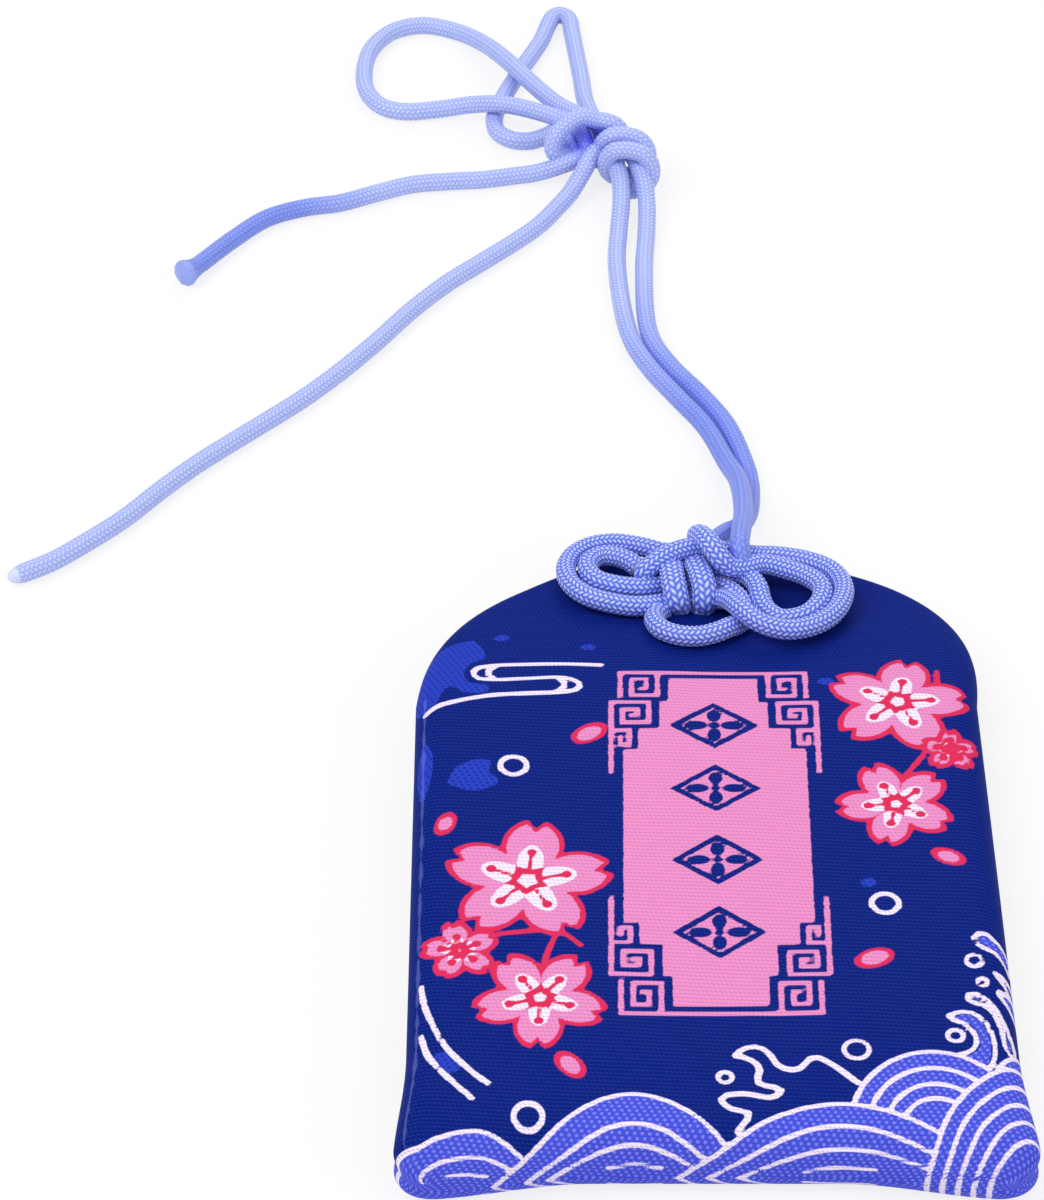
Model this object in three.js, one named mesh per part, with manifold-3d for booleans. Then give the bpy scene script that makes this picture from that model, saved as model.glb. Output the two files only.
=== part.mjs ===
// Omamori charm: a flat brocade pouch, tied shut at its mouth by an ornamental cord knot,
// with a hanging cord that ends in a bow. It lies on its back as on a table.
// Millimetres. +Z is up, +Y points to the mouth, and the origin is under the middle of the pouch.
import * as THREE from 'three';
import { mergeVertices } from 'three/addons/utils/BufferGeometryUtils.js';
import Module from 'manifold-3d';

const wasm = await Module();
wasm.setup();

// Pouch outline
const POUCH_WIDTH = 50;
const POUCH_HEIGHT = 76.2;
const CORNER_FLARE = 0.9;
const CORNER_DROP = 1.0;
const CORNER_RADIUS = 2.6;
const FLARE_LENGTH = 13;
const SHOULDER_HEIGHT = 20.6;
const SHOULDER_POWER = 2.35;
const SHOULDER_STATIONS = 10;
const MOUTH_CUT = 0.97;
const MOUTH_LEAN = 2.2;

// Pouch section
const CLOTH = 0.6;
const LEAST_HOLLOW = 0.08;
const SEAM_HEIGHT = 3.6;
const FRONT_DEPTH = 3.2;
const EDGE_RADIUS = 3.8;
const MOUTH_RADIUS = 3;
const SEAM_SLIT = 0.3;
const FOLD_LENGTH = 5;
const FRONT_CLOSING = 0.82;
const FRONT_CLOSING_RUN = 24;
const BACK_CLOSING = 0.85;
const BACK_CLOSING_RUN = 6;
const BACK_FLAT_TO_TOP = 14.8;

// Slot that the cord passes through, measured from the top edge
const SLOT_WIDTH = 7.8;
const SLOT_HEIGHT = 3.1;
const SLOT_X = -1.7;
const SLOT_BELOW_TOP = 13.4;

// Filling, from the back to the front
const FIT = 0.3;
const PAD_WIDTH = 41;
const PAD_HEIGHT = 49;
const PAD_THICKNESS = 1.7;
const CARD_WIDTH = 41;
const CARD_HEIGHT = 50;
const CARD_THICKNESS = 0.9;
const CARD_CORNER = 4;
const TAG_WIDTH = 20;
const TAG_HEIGHT = 46;
const TAG_THICKNESS = 0.6;
const TAG_POINT = 4;
const PAPER = 0.2;
const FILLING_Y = -8.5;

// Cord
const CORD_DIAMETER = 2.0;
const CORD_SIDES = 8;
const CORD_STEP = 5;
const KNOT_SIDES = 6;
const KNOT_STEP = 1.1;

// Winding of the bow
const BOW_TURNS = 2.5;
const BOW_PITCH = 2.5;
const BOW_CORE = 1.2;
const BOW_RADIUS = 2.4;
const BOW_FLATNESS = 2;
const BOW_LOOP_STEPS = 24;

const TOP = POUCH_HEIGHT / 2;

const BROCADE = new THREE.Color('#1f2a80');
const CORD_BLUE = new THREE.Color('#8c9cf0');
const CARD_GREY = new THREE.Color('#b9b4a8');
const WOOL_WHITE = new THREE.Color('#f1efe9');
const PAPER_WHITE = new THREE.Color('#f6f2e6');
const WOOD = new THREE.Color('#d9bd8e');

function material(color, roughness) {
  return new THREE.MeshStandardMaterial({ color, roughness, metalness: 0 });
}

function piece(name, geometry, color, roughness) {
  const mesh = new THREE.Mesh(geometry, material(color, roughness));
  mesh.name = name;
  return mesh;
}

function smooth(t) {
  const u = THREE.MathUtils.clamp(t, 0, 1);
  return u * u * (3 - 2 * u);
}

// Closed solids for cutting

function solid(geometry) {
  const bare = geometry.clone();
  for (const name of Object.keys(bare.attributes)) {
    if (name !== 'position') bare.deleteAttribute(name);
  }
  const merged = mergeVertices(bare, 1e-4);
  return new wasm.Manifold(new wasm.Mesh({
    numProp: 3,
    vertProperties: new Float32Array(merged.attributes.position.array),
    triVerts: new Uint32Array(merged.index.array),
  }));
}

function toGeometry(manifold) {
  const mesh = manifold.getMesh();
  const geometry = new THREE.BufferGeometry();
  geometry.setAttribute('position', new THREE.BufferAttribute(mesh.vertProperties, 3));
  geometry.setIndex(new THREE.BufferAttribute(mesh.triVerts, 1));
  geometry.computeVertexNormals();
  return geometry;
}

// Side of the pouch, from the bottom fold up to the mouth: half widths at rising heights.
// Each shoulder is a quarter of a superellipse, cut off where it reaches the mouth.

function pouchSide() {
  const half = POUCH_WIDTH / 2;
  const corner = half + CORNER_FLARE;
  const arc = new THREE.EllipseCurve(
    corner - CORNER_RADIUS, -TOP + CORNER_RADIUS, CORNER_RADIUS, CORNER_RADIUS, -Math.PI / 2, 0,
  );
  const flare = new THREE.QuadraticBezierCurve(
    new THREE.Vector2(corner, -TOP + CORNER_RADIUS),
    new THREE.Vector2(half, -TOP + FLARE_LENGTH / 2),
    new THREE.Vector2(half, -TOP + FLARE_LENGTH),
  );
  const shoulderStart = TOP - SHOULDER_HEIGHT * MOUTH_CUT;
  const straight = new THREE.LineCurve(
    new THREE.Vector2(half, -TOP + FLARE_LENGTH),
    new THREE.Vector2(half, shoulderStart),
  );
  const stations = [[arc, 4], [flare, 2], [straight, 6]]
    .flatMap(([curve, count]) => curve.getPoints(count).slice(0, -1));
  for (let i = 0; i <= SHOULDER_STATIONS; i += 1) {
    const rise = MOUTH_CUT * Math.sin((Math.PI / 2) * (i / SHOULDER_STATIONS));
    const width = half * (1 - rise ** SHOULDER_POWER) ** (1 / SHOULDER_POWER);
    stations.push(new THREE.Vector2(width, shoulderStart + SHOULDER_HEIGHT * rise));
  }
  return stations;
}

// Loft: cross sections at rising stations, each a front and a back line that meet at the two sides.
// The first and last sections are flat, so the front and the back close on each other there.

const SIDE_STEPS = [0, 0.07, 0.21, 0.42, 0.68, 1].map((share) => share * EDGE_RADIUS);

function loft(stations, place, frontHeight, backHeight) {
  const rows = stations.map(({ x: width, y }) => {
    const edge = SIDE_STEPS.filter((step) => step < width * 0.8).map((step) => step - width);
    const across = [...edge, -width / 3, width / 3, ...edge.map((x) => -x).reverse()];
    const front = across.map((x) => new THREE.Vector3(...place(x, y, width), frontHeight(x, y, width)));
    const back = across.map((x) => new THREE.Vector3(...place(x, y, width), backHeight(x, y, width)));
    return front.concat(back.slice(1, -1).reverse());
  });
  const points = rows.flatMap((row) => row.flatMap((p) => p.toArray()));
  const triangles = [];
  const count = rows[0].length;
  for (let row = 0; row + 1 < rows.length; row += 1) {
    for (let i = 0; i < count; i += 1) {
      const j = (i + 1) % count;
      const low = row * count;
      const high = low + count;
      triangles.push(low + i, low + j, high + i, low + j, high + j, high + i);
    }
  }
  const geometry = new THREE.BufferGeometry();
  geometry.setAttribute('position', new THREE.Float32BufferAttribute(points, 3));
  geometry.setIndex(triangles);
  return mergeVertices(geometry, 1e-4);
}

// Height of a rounded edge at a distance from it, as a share of the full height
function edgeRise(distance, radius) {
  const t = THREE.MathUtils.clamp(1 - distance / radius, 0, 1);
  return Math.sqrt(1 - t * t);
}

function pouchRise(x, y, width) {
  const side = edgeRise(width - Math.abs(x), EDGE_RADIUS);
  const bottom = edgeRise(y + TOP, EDGE_RADIUS);
  const mouth = edgeRise(TOP - y, MOUTH_RADIUS);
  return side * bottom * mouth;
}

// The front sinks gently to the mouth; the back lifts off the table to let the cord pass under it.
// The cloth argument takes its thickness off, which gives the hollow inside.
function pouchFront(x, y, width, cloth = 0) {
  const closing = smooth((y - TOP + FRONT_CLOSING_RUN) / FRONT_CLOSING_RUN);
  const depth = Math.max(FRONT_DEPTH * (1 - FRONT_CLOSING * closing) - cloth, LEAST_HOLLOW);
  return SEAM_HEIGHT + pouchRise(x, y, width) * depth;
}

function pouchBack(x, y, width, cloth = 0) {
  const start = TOP - BACK_FLAT_TO_TOP - BACK_CLOSING_RUN;
  const closing = smooth((y - start) / BACK_CLOSING_RUN);
  const depth = Math.max(SEAM_HEIGHT * (1 - BACK_CLOSING * closing) - cloth, LEAST_HOLLOW);
  return SEAM_HEIGHT - pouchRise(x, y, width) * depth;
}

// The bottom fold is drawn in between the two corners, and the tied mouth leans to the right
function clothPlace(x, y, width) {
  const middle = 1 - smooth((Math.abs(x) / width - 0.4) / 0.55);
  const low = 1 - smooth((y + TOP) / FLARE_LENGTH);
  const lean = THREE.MathUtils.clamp((y - TOP) / SHOULDER_HEIGHT + 1, 0, 1);
  return [x + MOUTH_LEAN * lean, y + CORNER_DROP * middle * low];
}

// One strip of brocade, folded at the bottom and sewn up both sides and shoulders.
// The seam is the thin slit between its two halves, which stops at the fold.
function brocadePouch() {
  const stations = pouchSide();
  const shrink = 1 - CLOTH / TOP;
  const innerStations = stations.map((p) => new THREE.Vector2(p.x - CLOTH, p.y * shrink));
  const outside = loft(stations, clothPlace, pouchFront, pouchBack);
  const inside = loft(
    innerStations,
    clothPlace,
    (x, y, width) => pouchFront(x, y / shrink, width, CLOTH),
    (x, y, width) => pouchBack(x, y / shrink, width, CLOTH),
  );
  const slitShape = new THREE.Shape([
    new THREE.Vector2(-POUCH_WIDTH, -TOP + FOLD_LENGTH),
    new THREE.Vector2(POUCH_WIDTH, -TOP + FOLD_LENGTH),
    new THREE.Vector2(POUCH_WIDTH, POUCH_HEIGHT),
    new THREE.Vector2(-POUCH_WIDTH, POUCH_HEIGHT),
  ]);
  const slit = new THREE.ExtrudeGeometry(slitShape, { depth: SEAM_SLIT, bevelEnabled: false });
  slit.translate(0, 0, SEAM_HEIGHT - SEAM_SLIT / 2);
  const slot = new THREE.ExtrudeGeometry(stadium(SLOT_WIDTH, SLOT_HEIGHT), {
    depth: SEAM_HEIGHT + FRONT_DEPTH + 2 * CLOTH,
    bevelEnabled: false,
    curveSegments: 5,
  });
  slot.translate(SLOT_X, TOP - SLOT_BELOW_TOP, -CLOTH / 2);
  return toGeometry(solid(outside).subtract(solid(inside)).subtract(solid(slit)).subtract(solid(slot)));
}

function stadium(width, height) {
  const radius = height / 2;
  const straight = width / 2 - radius;
  const shape = new THREE.Shape();
  shape.absarc(straight, 0, radius, -Math.PI / 2, Math.PI / 2, false);
  shape.absarc(-straight, 0, radius, Math.PI / 2, Math.PI * 1.5, false);
  return shape;
}

function roundedRectangle(width, height, radius) {
  const x = width / 2 - radius;
  const y = height / 2 - radius;
  const shape = new THREE.Shape();
  shape.absarc(x, -y, radius, -Math.PI / 2, 0, false);
  shape.absarc(x, y, radius, 0, Math.PI / 2, false);
  shape.absarc(-x, y, radius, Math.PI / 2, Math.PI, false);
  shape.absarc(-x, -y, radius, Math.PI, Math.PI * 1.5, false);
  return shape;
}

// Filling heights, stacked on the cloth of the back
const PAD_Z = CLOTH + FIT;
const WRAPPER_Z = PAD_Z + PAD_THICKNESS + FIT;
const WRAPPER_THICKNESS = TAG_THICKNESS + 2 * (PAPER + FIT);
const CARD_Z = WRAPPER_Z + WRAPPER_THICKNESS + FIT;

function waddingPad() {
  const corner = new THREE.EllipseCurve(
    PAD_WIDTH / 2 - CARD_CORNER, -PAD_HEIGHT / 2 + CARD_CORNER, CARD_CORNER, CARD_CORNER, -Math.PI / 2, 0,
  );
  const lower = corner.getPoints(5).concat(new THREE.Vector2(PAD_WIDTH / 2, 0));
  const upper = corner.getPoints(5).map((p) => new THREE.Vector2(p.x, -p.y)).reverse();
  const rise = (x, y, width) => (
    edgeRise(width - Math.abs(x), CARD_CORNER) * edgeRise(PAD_HEIGHT / 2 - Math.abs(y), CARD_CORNER)
  );
  const middle = PAD_THICKNESS / 2;
  return loft(
    lower.concat(upper),
    (x, y) => [x, y],
    (x, y, width) => middle + rise(x, y, width) * middle,
    (x, y, width) => middle - rise(x, y, width) * middle,
  );
}

function stiffenerCard() {
  const shape = roundedRectangle(CARD_WIDTH, CARD_HEIGHT, CARD_CORNER);
  return new THREE.ExtrudeGeometry(shape, { depth: CARD_THICKNESS, bevelEnabled: false, curveSegments: 4 });
}

// A tag with a pointed top, as prayer tablets have
function talismanTag() {
  const x = TAG_WIDTH / 2;
  const y = TAG_HEIGHT / 2;
  const shape = new THREE.Shape();
  shape.moveTo(-x, -y);
  shape.lineTo(x, -y);
  shape.lineTo(x, y - TAG_POINT);
  shape.lineTo(0, y);
  shape.lineTo(-x, y - TAG_POINT);
  shape.closePath();
  return new THREE.ExtrudeGeometry(shape, { depth: TAG_THICKNESS, bevelEnabled: false });
}

// A folded paper sleeve, open at both ends, that the tag slides into
function talismanWrapper() {
  const outerX = TAG_WIDTH / 2 + FIT + PAPER;
  const outerZ = WRAPPER_THICKNESS;
  const shape = new THREE.Shape();
  shape.moveTo(-outerX, 0);
  shape.lineTo(outerX, 0);
  shape.lineTo(outerX, outerZ);
  shape.lineTo(-outerX, outerZ);
  shape.closePath();
  const bore = new THREE.Path();
  bore.moveTo(-outerX + PAPER, PAPER);
  bore.lineTo(-outerX + PAPER, outerZ - PAPER);
  bore.lineTo(outerX - PAPER, outerZ - PAPER);
  bore.lineTo(outerX - PAPER, PAPER);
  bore.closePath();
  shape.holes.push(bore);
  const geometry = new THREE.ExtrudeGeometry(shape, { depth: TAG_HEIGHT, bevelEnabled: false });
  geometry.rotateX(Math.PI / 2);
  geometry.translate(0, TAG_HEIGHT / 2, 0);
  return geometry;
}

// Cord

function cordSection(sides) {
  const points = [];
  for (let i = 0; i < sides; i += 1) {
    const angle = (2 * Math.PI * (i + 0.5)) / sides;
    points.push(new THREE.Vector2(Math.cos(angle), Math.sin(angle)).multiplyScalar(CORD_DIAMETER / 2));
  }
  return new THREE.Shape(points);
}

function curveThrough(route) {
  const points = route.map(([x, y, z]) => new THREE.Vector3(x, y, z));
  return new THREE.CatmullRomCurve3(points, false, 'centripetal');
}

function cordTube(route, sides, step) {
  const curve = curveThrough(route);
  return new THREE.ExtrudeGeometry(cordSection(sides), {
    steps: Math.round(curve.getLength() / step),
    extrudePath: curve,
    bevelEnabled: false,
  });
}

// Least gap between stretches of one tube that are not next to each other along it
function leastGap(route, step) {
  const curve = curveThrough(route);
  const count = Math.round((curve.getLength() / step) * 2);
  const points = curve.getSpacedPoints(count);
  const skip = Math.ceil((2.2 * CORD_DIAMETER) / (step / 2));
  let least = Infinity;
  for (let i = 0; i < points.length; i += 1) {
    for (let j = i + skip; j < points.length; j += 1) {
      least = Math.min(least, points[i].distanceTo(points[j]));
    }
  }
  return least - CORD_DIAMETER;
}

// Routes are in the frame of the mouth: X across, Y from the pouch's top edge, Z from the table.

// Left ear, outer strand, then under the two wraps to the right ear, and back over the top
const OUTER_EARS = [
  [-5.2, -1.8, 6.1], [-7.8, -1.4, 6.4], [-10.2, -2.4, 6.7], [-11.9, -4.8, 6.9], [-11.6, -7.7, 7.0],
  [-9.6, -9.9, 7.0], [-6.9, -10.7, 6.9], [-4.4, -10.7, 6.85], [-1.8, -10.8, 6.75], [0.7, -10.8, 6.65],
  [3.0, -11.2, 7.55], [4.6, -12.4, 9.25], [6.6, -14.2, 9.65], [9.0, -15.0, 8.95], [11.9, -14.1, 8.15],
  [13.9, -11.4, 7.65], [14.0, -8.2, 7.55], [12.7, -5.3, 7.6], [10.1, -3.5, 7.9], [7.4, -2.6, 8.6],
  [4.8, -2.2, 9.05], [2.2, -2.1, 9.15], [-0.2, -2.1, 9.2], [-2.5, -2.2, 9.25], [-4.6, -3.1, 9.1],
  [-5.6, -4.7, 8.4],
];

// Under the wraps again, round the inside of the right ear, and over the top edge
const INNER_RIGHT_EAR = [
  [-5.3, -5.5, 7.4], [-4.0, -5.7, 6.4], [-1.8, -5.85, 5.9], [0.7, -5.8, 5.95], [3.2, -5.8, 6.05],
  [5.9, -6.9, 6.35], [7.7, -8.7, 6.65], [8.0, -10.7, 6.95], [9.3, -11.8, 7.15], [10.8, -11.6, 7.25],
  [11.5, -10.0, 7.25], [11.1, -7.6, 7.2], [9.5, -5.9, 7.2], [7.3, -5.05, 7.55], [5.4, -4.65, 8.3],
  [3.6, -4.9, 9.1], [2.6, -4.0, 10.7], [2.0, -2.4, 11.6], [1.9, -0.5, 11.1], [2.1, 0.6, 9.2],
  [2.4, 1.4, 6.4],
];

// From the top edge down behind the pouch to the slot
function behindPouch(edgeX, slotX, slotY) {
  return [
    [edgeX, 1.7, 3.6], [edgeX, 1.1, 2.0], [edgeX - 0.2, -0.6, 1.4], [(edgeX + slotX) / 2, -6.5, 1.35],
    [slotX, slotY + 1.6, 1.4], [slotX, slotY + 0.2, 2.5], [slotX, slotY, 4.4],
  ];
}

// From the slot up over the strands in front and over the top edge again
function frontWrap(slotX, edgeX) {
  return [
    [slotX, -13.5, 6.6], [slotX, -12.8, 8.45], [slotX, -10.9, 9.35], [slotX, -8.3, 9.0],
    [slotX - 0.1, -5.9, 8.55], [slotX - 0.3, -4.4, 8.05], [slotX - 0.5, -3.4, 6.95],
    [edgeX + 0.1, -2.4, 6.1], [edgeX, -0.8, 5.6], [edgeX, 0.9, 5.0],
  ];
}

// Out of the slot, round the small loop at the bottom, and round the inside of the left ear
const BOTTOM_LOOP = [
  [-4.2, -13.5, 6.4], [-4.0, -14.9, 7.4], [-2.6, -16.0, 7.55], [-0.4, -16.4, 7.55], [1.8, -16.2, 7.55],
  [3.8, -15.3, 7.4], [5.1, -13.8, 6.95], [5.6, -12.0, 6.75], [5.3, -10.2, 6.65], [4.0, -8.8, 6.55],
];
const INNER_LEFT_EAR = [
  [2.4, -8.35, 6.45], [0.7, -8.25, 6.45], [-1.8, -8.2, 6.45], [-4.4, -8.25, 6.55], [-6.6, -7.9, 6.95],
  [-8.5, -7.3, 7.2], [-9.2, -6.1, 7.25], [-8.8, -5.1, 7.35], [-8.0, -4.7, 7.45],
];

const CHARM_KNOT = [
  ...OUTER_EARS,
  ...INNER_RIGHT_EAR,
  ...behindPouch(2.4, 0.8, -13.5),
  ...frontWrap(0.8, -0.1),
  ...behindPouch(-0.1, -1.7, -13.5),
  ...frontWrap(-1.7, -2.6),
  ...behindPouch(-2.6, -4.2, -13.3),
  ...BOTTOM_LOOP,
  ...INNER_LEFT_EAR,
];

// The bow's winding: turns round the two neck cords, from the lower end of the bow to its upper end.
// Each turn is a half circle round either cord, with flat runs over and under the two.
const BOW_START = new THREE.Vector3(-3.9, 66.2, 3.5);
const BOW_AXIS = new THREE.Vector3(-0.2, 1, 0).normalize();
const BOW_ACROSS = new THREE.Vector3(BOW_AXIS.y, -BOW_AXIS.x, 0);

function bowWinding() {
  const route = [];
  const steps = BOW_TURNS * BOW_LOOP_STEPS;
  for (let i = 0; i <= steps; i += 1) {
    const angle = (2 * Math.PI * i) / BOW_LOOP_STEPS - Math.PI / 2;
    const along = (BOW_PITCH * i) / BOW_LOOP_STEPS;
    const p = BOW_START.clone();
    p.addScaledVector(BOW_AXIS, along);
    const core = BOW_CORE * THREE.MathUtils.clamp(BOW_FLATNESS * Math.cos(angle), -1, 1);
    p.addScaledVector(BOW_ACROSS, core + BOW_RADIUS * Math.cos(angle));
    p.z += BOW_RADIUS * Math.sin(angle);
    route.push(p.toArray());
  }
  return route;
}

const NECK_LEFT = [
  [4.6, 0.0, 6.5], [4.75, 2.0, 6.0], [5.0, 5.0, 4.9], [5.15, 9.0, 3.4], [5.1, 12.0, 2.8],
  [4.65, 15.2, 2.0], [4.1, 18.0, 1.4], [3.2, 21.0, 1.1], [1.4, 26.2, 1.1], [-1.25, 31.3, 1.1],
  [-4.0, 37.4, 1.1], [-5.65, 44.1, 1.1], [-6.1, 51.0, 1.1], [-5.8, 57.0, 1.4], [-5.1, 62.0, 2.7],
  [-5.08, 65.96, 3.5], [-5.86, 69.9, 3.5],
];
const NECK_RIGHT = [
  [6.5, 0.7, 4.7], [6.65, 3.0, 3.6], [6.75, 6.0, 2.45], [6.9, 9.0, 1.5], [6.8, 12.0, 1.15],
  [6.8, 15.0, 1.1], [6.55, 18.0, 1.1], [5.9, 21.3, 1.1], [4.2, 26.3, 1.1], [1.65, 31.3, 1.1],
  [-1.45, 37.3, 1.1], [-3.1, 44.0, 1.1], [-2.9, 51.0, 1.1], [-2.6, 57.0, 1.6], [-2.55, 62.6, 2.8],
  [-2.72, 66.44, 3.5], [-3.5, 70.36, 3.5],
];
const LOOP_UPRIGHT = [
  [-5.93, 70.25, 3.5], [-6.6, 73.8, 3.4], [-7.6, 78.0, 2.2], [-8.6, 83.0, 1.1], [-9.6, 90.0, 1.1],
  [-10.6, 96.2, 1.1], [-11.7, 98.0, 1.1], [-12.9, 96.6, 1.1], [-14.4, 91.5, 1.1], [-16.0, 86.0, 1.1],
  [-17.8, 81.0, 1.1], [-18.6, 77.5, 1.1], [-17.8, 74.6, 1.1], [-15.2, 73.6, 1.1], [-11.9, 73.4, 1.1],
  [-8.0, 72.9, 1.1],
];
const LOOP_LARGE = [
  [-3.57, 70.7, 3.5], [-4.2, 74.3, 3.7], [-5.4, 77.4, 4.5], [-7.6, 79.4, 5.1], [-10.2, 80.0, 5.0],
  [-12.8, 81.2, 4.5], [-16.2, 84.8, 3.8], [-20.2, 89.7, 2.6], [-25.6, 92.8, 1.5], [-30.0, 90.8, 1.1],
  [-32.3, 85.8, 1.1], [-32.0, 80.6, 1.1], [-29.6, 77.2, 1.1], [-26.0, 76.6, 1.6], [-22.0, 77.4, 3.0],
  [-17.5, 78.1, 3.9], [-13.4, 77.0, 4.4], [-10.0, 75.8, 4.4],
];
const TAIL_SHORT = [
  [-5.43, 72.3, 5.9], [-7.6, 71.95, 5.7], [-10.0, 71.2, 4.5], [-12.6, 70.0, 2.5], [-15.2, 68.4, 1.25],
  [-17.8, 67.0, 1.1], [-22.5, 66.0, 1.1], [-27.2, 65.4, 1.1], [-29.6, 64.7, 1.1], [-32.5, 63.2, 1.1],
  [-36.0, 61.9, 1.1], [-39.4, 60.6, 1.1], [-42.5, 58.7, 1.1], [-46.6, 53.6, 1.1], [-49.5, 49.7, 1.1],
];
const TAIL_LONG = [
  [-4.19, 66.12, 1.1], [-6.3, 65.4, 1.1], [-9.0, 63.4, 1.1], [-10.4, 61.0, 1.1], [-11.7, 58.8, 1.1],
  [-13.6, 57.0, 1.1], [-17.6, 53.6, 1.1], [-23.1, 48.0, 1.1], [-27.8, 41.8, 1.1], [-31.7, 35.5, 1.1],
  [-36.2, 29.9, 1.1], [-41.3, 24.5, 1.1], [-46.2, 19.2, 1.1], [-50.1, 14.3, 1.1], [-53.3, 10.1, 1.1],
  [-57.0, 6.4, 1.1], [-60.0, 3.8, 1.1], [-63.4, 1.6, 1.1],
];

// Assembly

const charm = new THREE.Group();
charm.add(piece('brocade_pouch', brocadePouch(), BROCADE, 0.75));

const filling = new THREE.Group();
filling.position.set(0, FILLING_Y, 0);
const pad = piece('wadding_pad', waddingPad(), WOOL_WHITE, 1);
pad.position.z = PAD_Z;
const wrapper = piece('talisman_wrapper', talismanWrapper(), PAPER_WHITE, 0.9);
wrapper.position.z = WRAPPER_Z;
const tag = piece('talisman_tag', talismanTag(), WOOD, 0.7);
tag.position.z = WRAPPER_Z + PAPER + FIT;
const card = piece('stiffener_card', stiffenerCard(), CARD_GREY, 0.9);
card.position.z = CARD_Z;
filling.add(pad, wrapper, tag, card);
charm.add(filling);

const cord = new THREE.Group();
cord.position.set(0, TOP, 0);
const bow = bowWinding();
cord.add(piece('charm_knot', cordTube(CHARM_KNOT, KNOT_SIDES, KNOT_STEP), CORD_BLUE, 0.6));
cord.add(piece('bow_knot', cordTube(bow, KNOT_SIDES, KNOT_STEP), CORD_BLUE, 0.6));
const stretches = {
  neck_cord_left: NECK_LEFT,
  neck_cord_right: NECK_RIGHT,
  bow_loop_upright: LOOP_UPRIGHT,
  bow_loop_large: LOOP_LARGE,
  tail_short: TAIL_SHORT,
  tail_long: TAIL_LONG,
};
for (const [name, route] of Object.entries(stretches)) {
  cord.add(piece(name, cordTube(route, CORD_SIDES, CORD_STEP), CORD_BLUE, 0.6));
}
charm.add(cord);

console.log(`charm knot: least gap to itself ${leastGap(CHARM_KNOT, KNOT_STEP).toFixed(2)} mm`);
console.log(`bow winding: least gap to itself ${leastGap(bow, KNOT_STEP).toFixed(2)} mm`);

export default charm;
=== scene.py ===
"""Dresses the omamori charm: a stuffed brocade pouch, its knot and its braided hanging cord."""

import math

import bpy
import numpy as np
from bpy.props import FloatProperty, IntProperty, PointerProperty, StringProperty
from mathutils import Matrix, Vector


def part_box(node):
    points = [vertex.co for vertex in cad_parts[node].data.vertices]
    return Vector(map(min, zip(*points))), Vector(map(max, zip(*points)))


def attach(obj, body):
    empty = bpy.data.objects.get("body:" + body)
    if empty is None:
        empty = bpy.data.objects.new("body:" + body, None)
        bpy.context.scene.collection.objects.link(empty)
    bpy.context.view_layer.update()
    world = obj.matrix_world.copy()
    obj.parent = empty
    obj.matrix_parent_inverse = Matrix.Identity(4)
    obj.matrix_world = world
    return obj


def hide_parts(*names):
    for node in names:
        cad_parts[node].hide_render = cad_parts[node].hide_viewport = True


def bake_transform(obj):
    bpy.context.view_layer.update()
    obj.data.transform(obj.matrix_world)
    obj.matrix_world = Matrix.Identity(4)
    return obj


bl_info = {
    "name": "Omamori charm",
    "version": (1, 0, 0),
    "blender": (4, 5, 0),
    "location": "3D View > Sidebar > Omamori",
    "description": "Builds the pouch, knot, hanging cord and filling of an omamori charm",
    "category": "Add Mesh",
}

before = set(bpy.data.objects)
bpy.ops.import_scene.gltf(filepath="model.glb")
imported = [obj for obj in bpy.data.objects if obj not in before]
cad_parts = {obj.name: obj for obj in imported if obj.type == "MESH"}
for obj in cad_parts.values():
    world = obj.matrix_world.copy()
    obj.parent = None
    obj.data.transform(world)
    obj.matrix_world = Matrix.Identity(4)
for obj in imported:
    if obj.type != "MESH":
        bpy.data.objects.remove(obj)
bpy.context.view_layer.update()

# All sizes below are in millimetres and become metres where a mesh is made.
MM = 0.001
TOP = 38.1  # the pouch's top edge, from which the cord routes are measured


# Settings


class PouchSettings(bpy.types.PropertyGroup):
    """Colours of the pouch as sRGB hex values, its thread and its filling."""

    ground: StringProperty(name="Ground", description="Navy warp of the brocade", default="#041f78")
    sea: StringProperty(name="Sea", description="Royal blue weft of the waves", default="#4850da")
    mist: StringProperty(name="Mist", description="Dull blue weft of the clouds", default="#2740c0")
    blossom: StringProperty(name="Blossom", description="Pink weft of panel and petals", default="#ea8fc3")
    foam: StringProperty(name="Foam", description="White weft of the crests and petals", default="#f3e6fa")
    outline: StringProperty(name="Outline", description="Red weft of the petal outlines", default="#e22c52")
    # the pale dots are woven; the same colour paints a highlight on the left side's seam fold
    dots_and_highlight: StringProperty(name="Spark", description="Pale dots on the waves, rubbed fold", default="#8f9bf6")
    warp: StringProperty(name="Warp", description="Warp where it ties the wefts down", default="#3d47a8")
    thread: FloatProperty(name="Thread", description="Weft to weft, in mm", default=0.42, min=0.2, max=1.0)
    fill: FloatProperty(
        name="Fill", description="How tightly it is filled", default=0.55, subtype="FACTOR", min=0.0, max=1.0
    )


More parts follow.
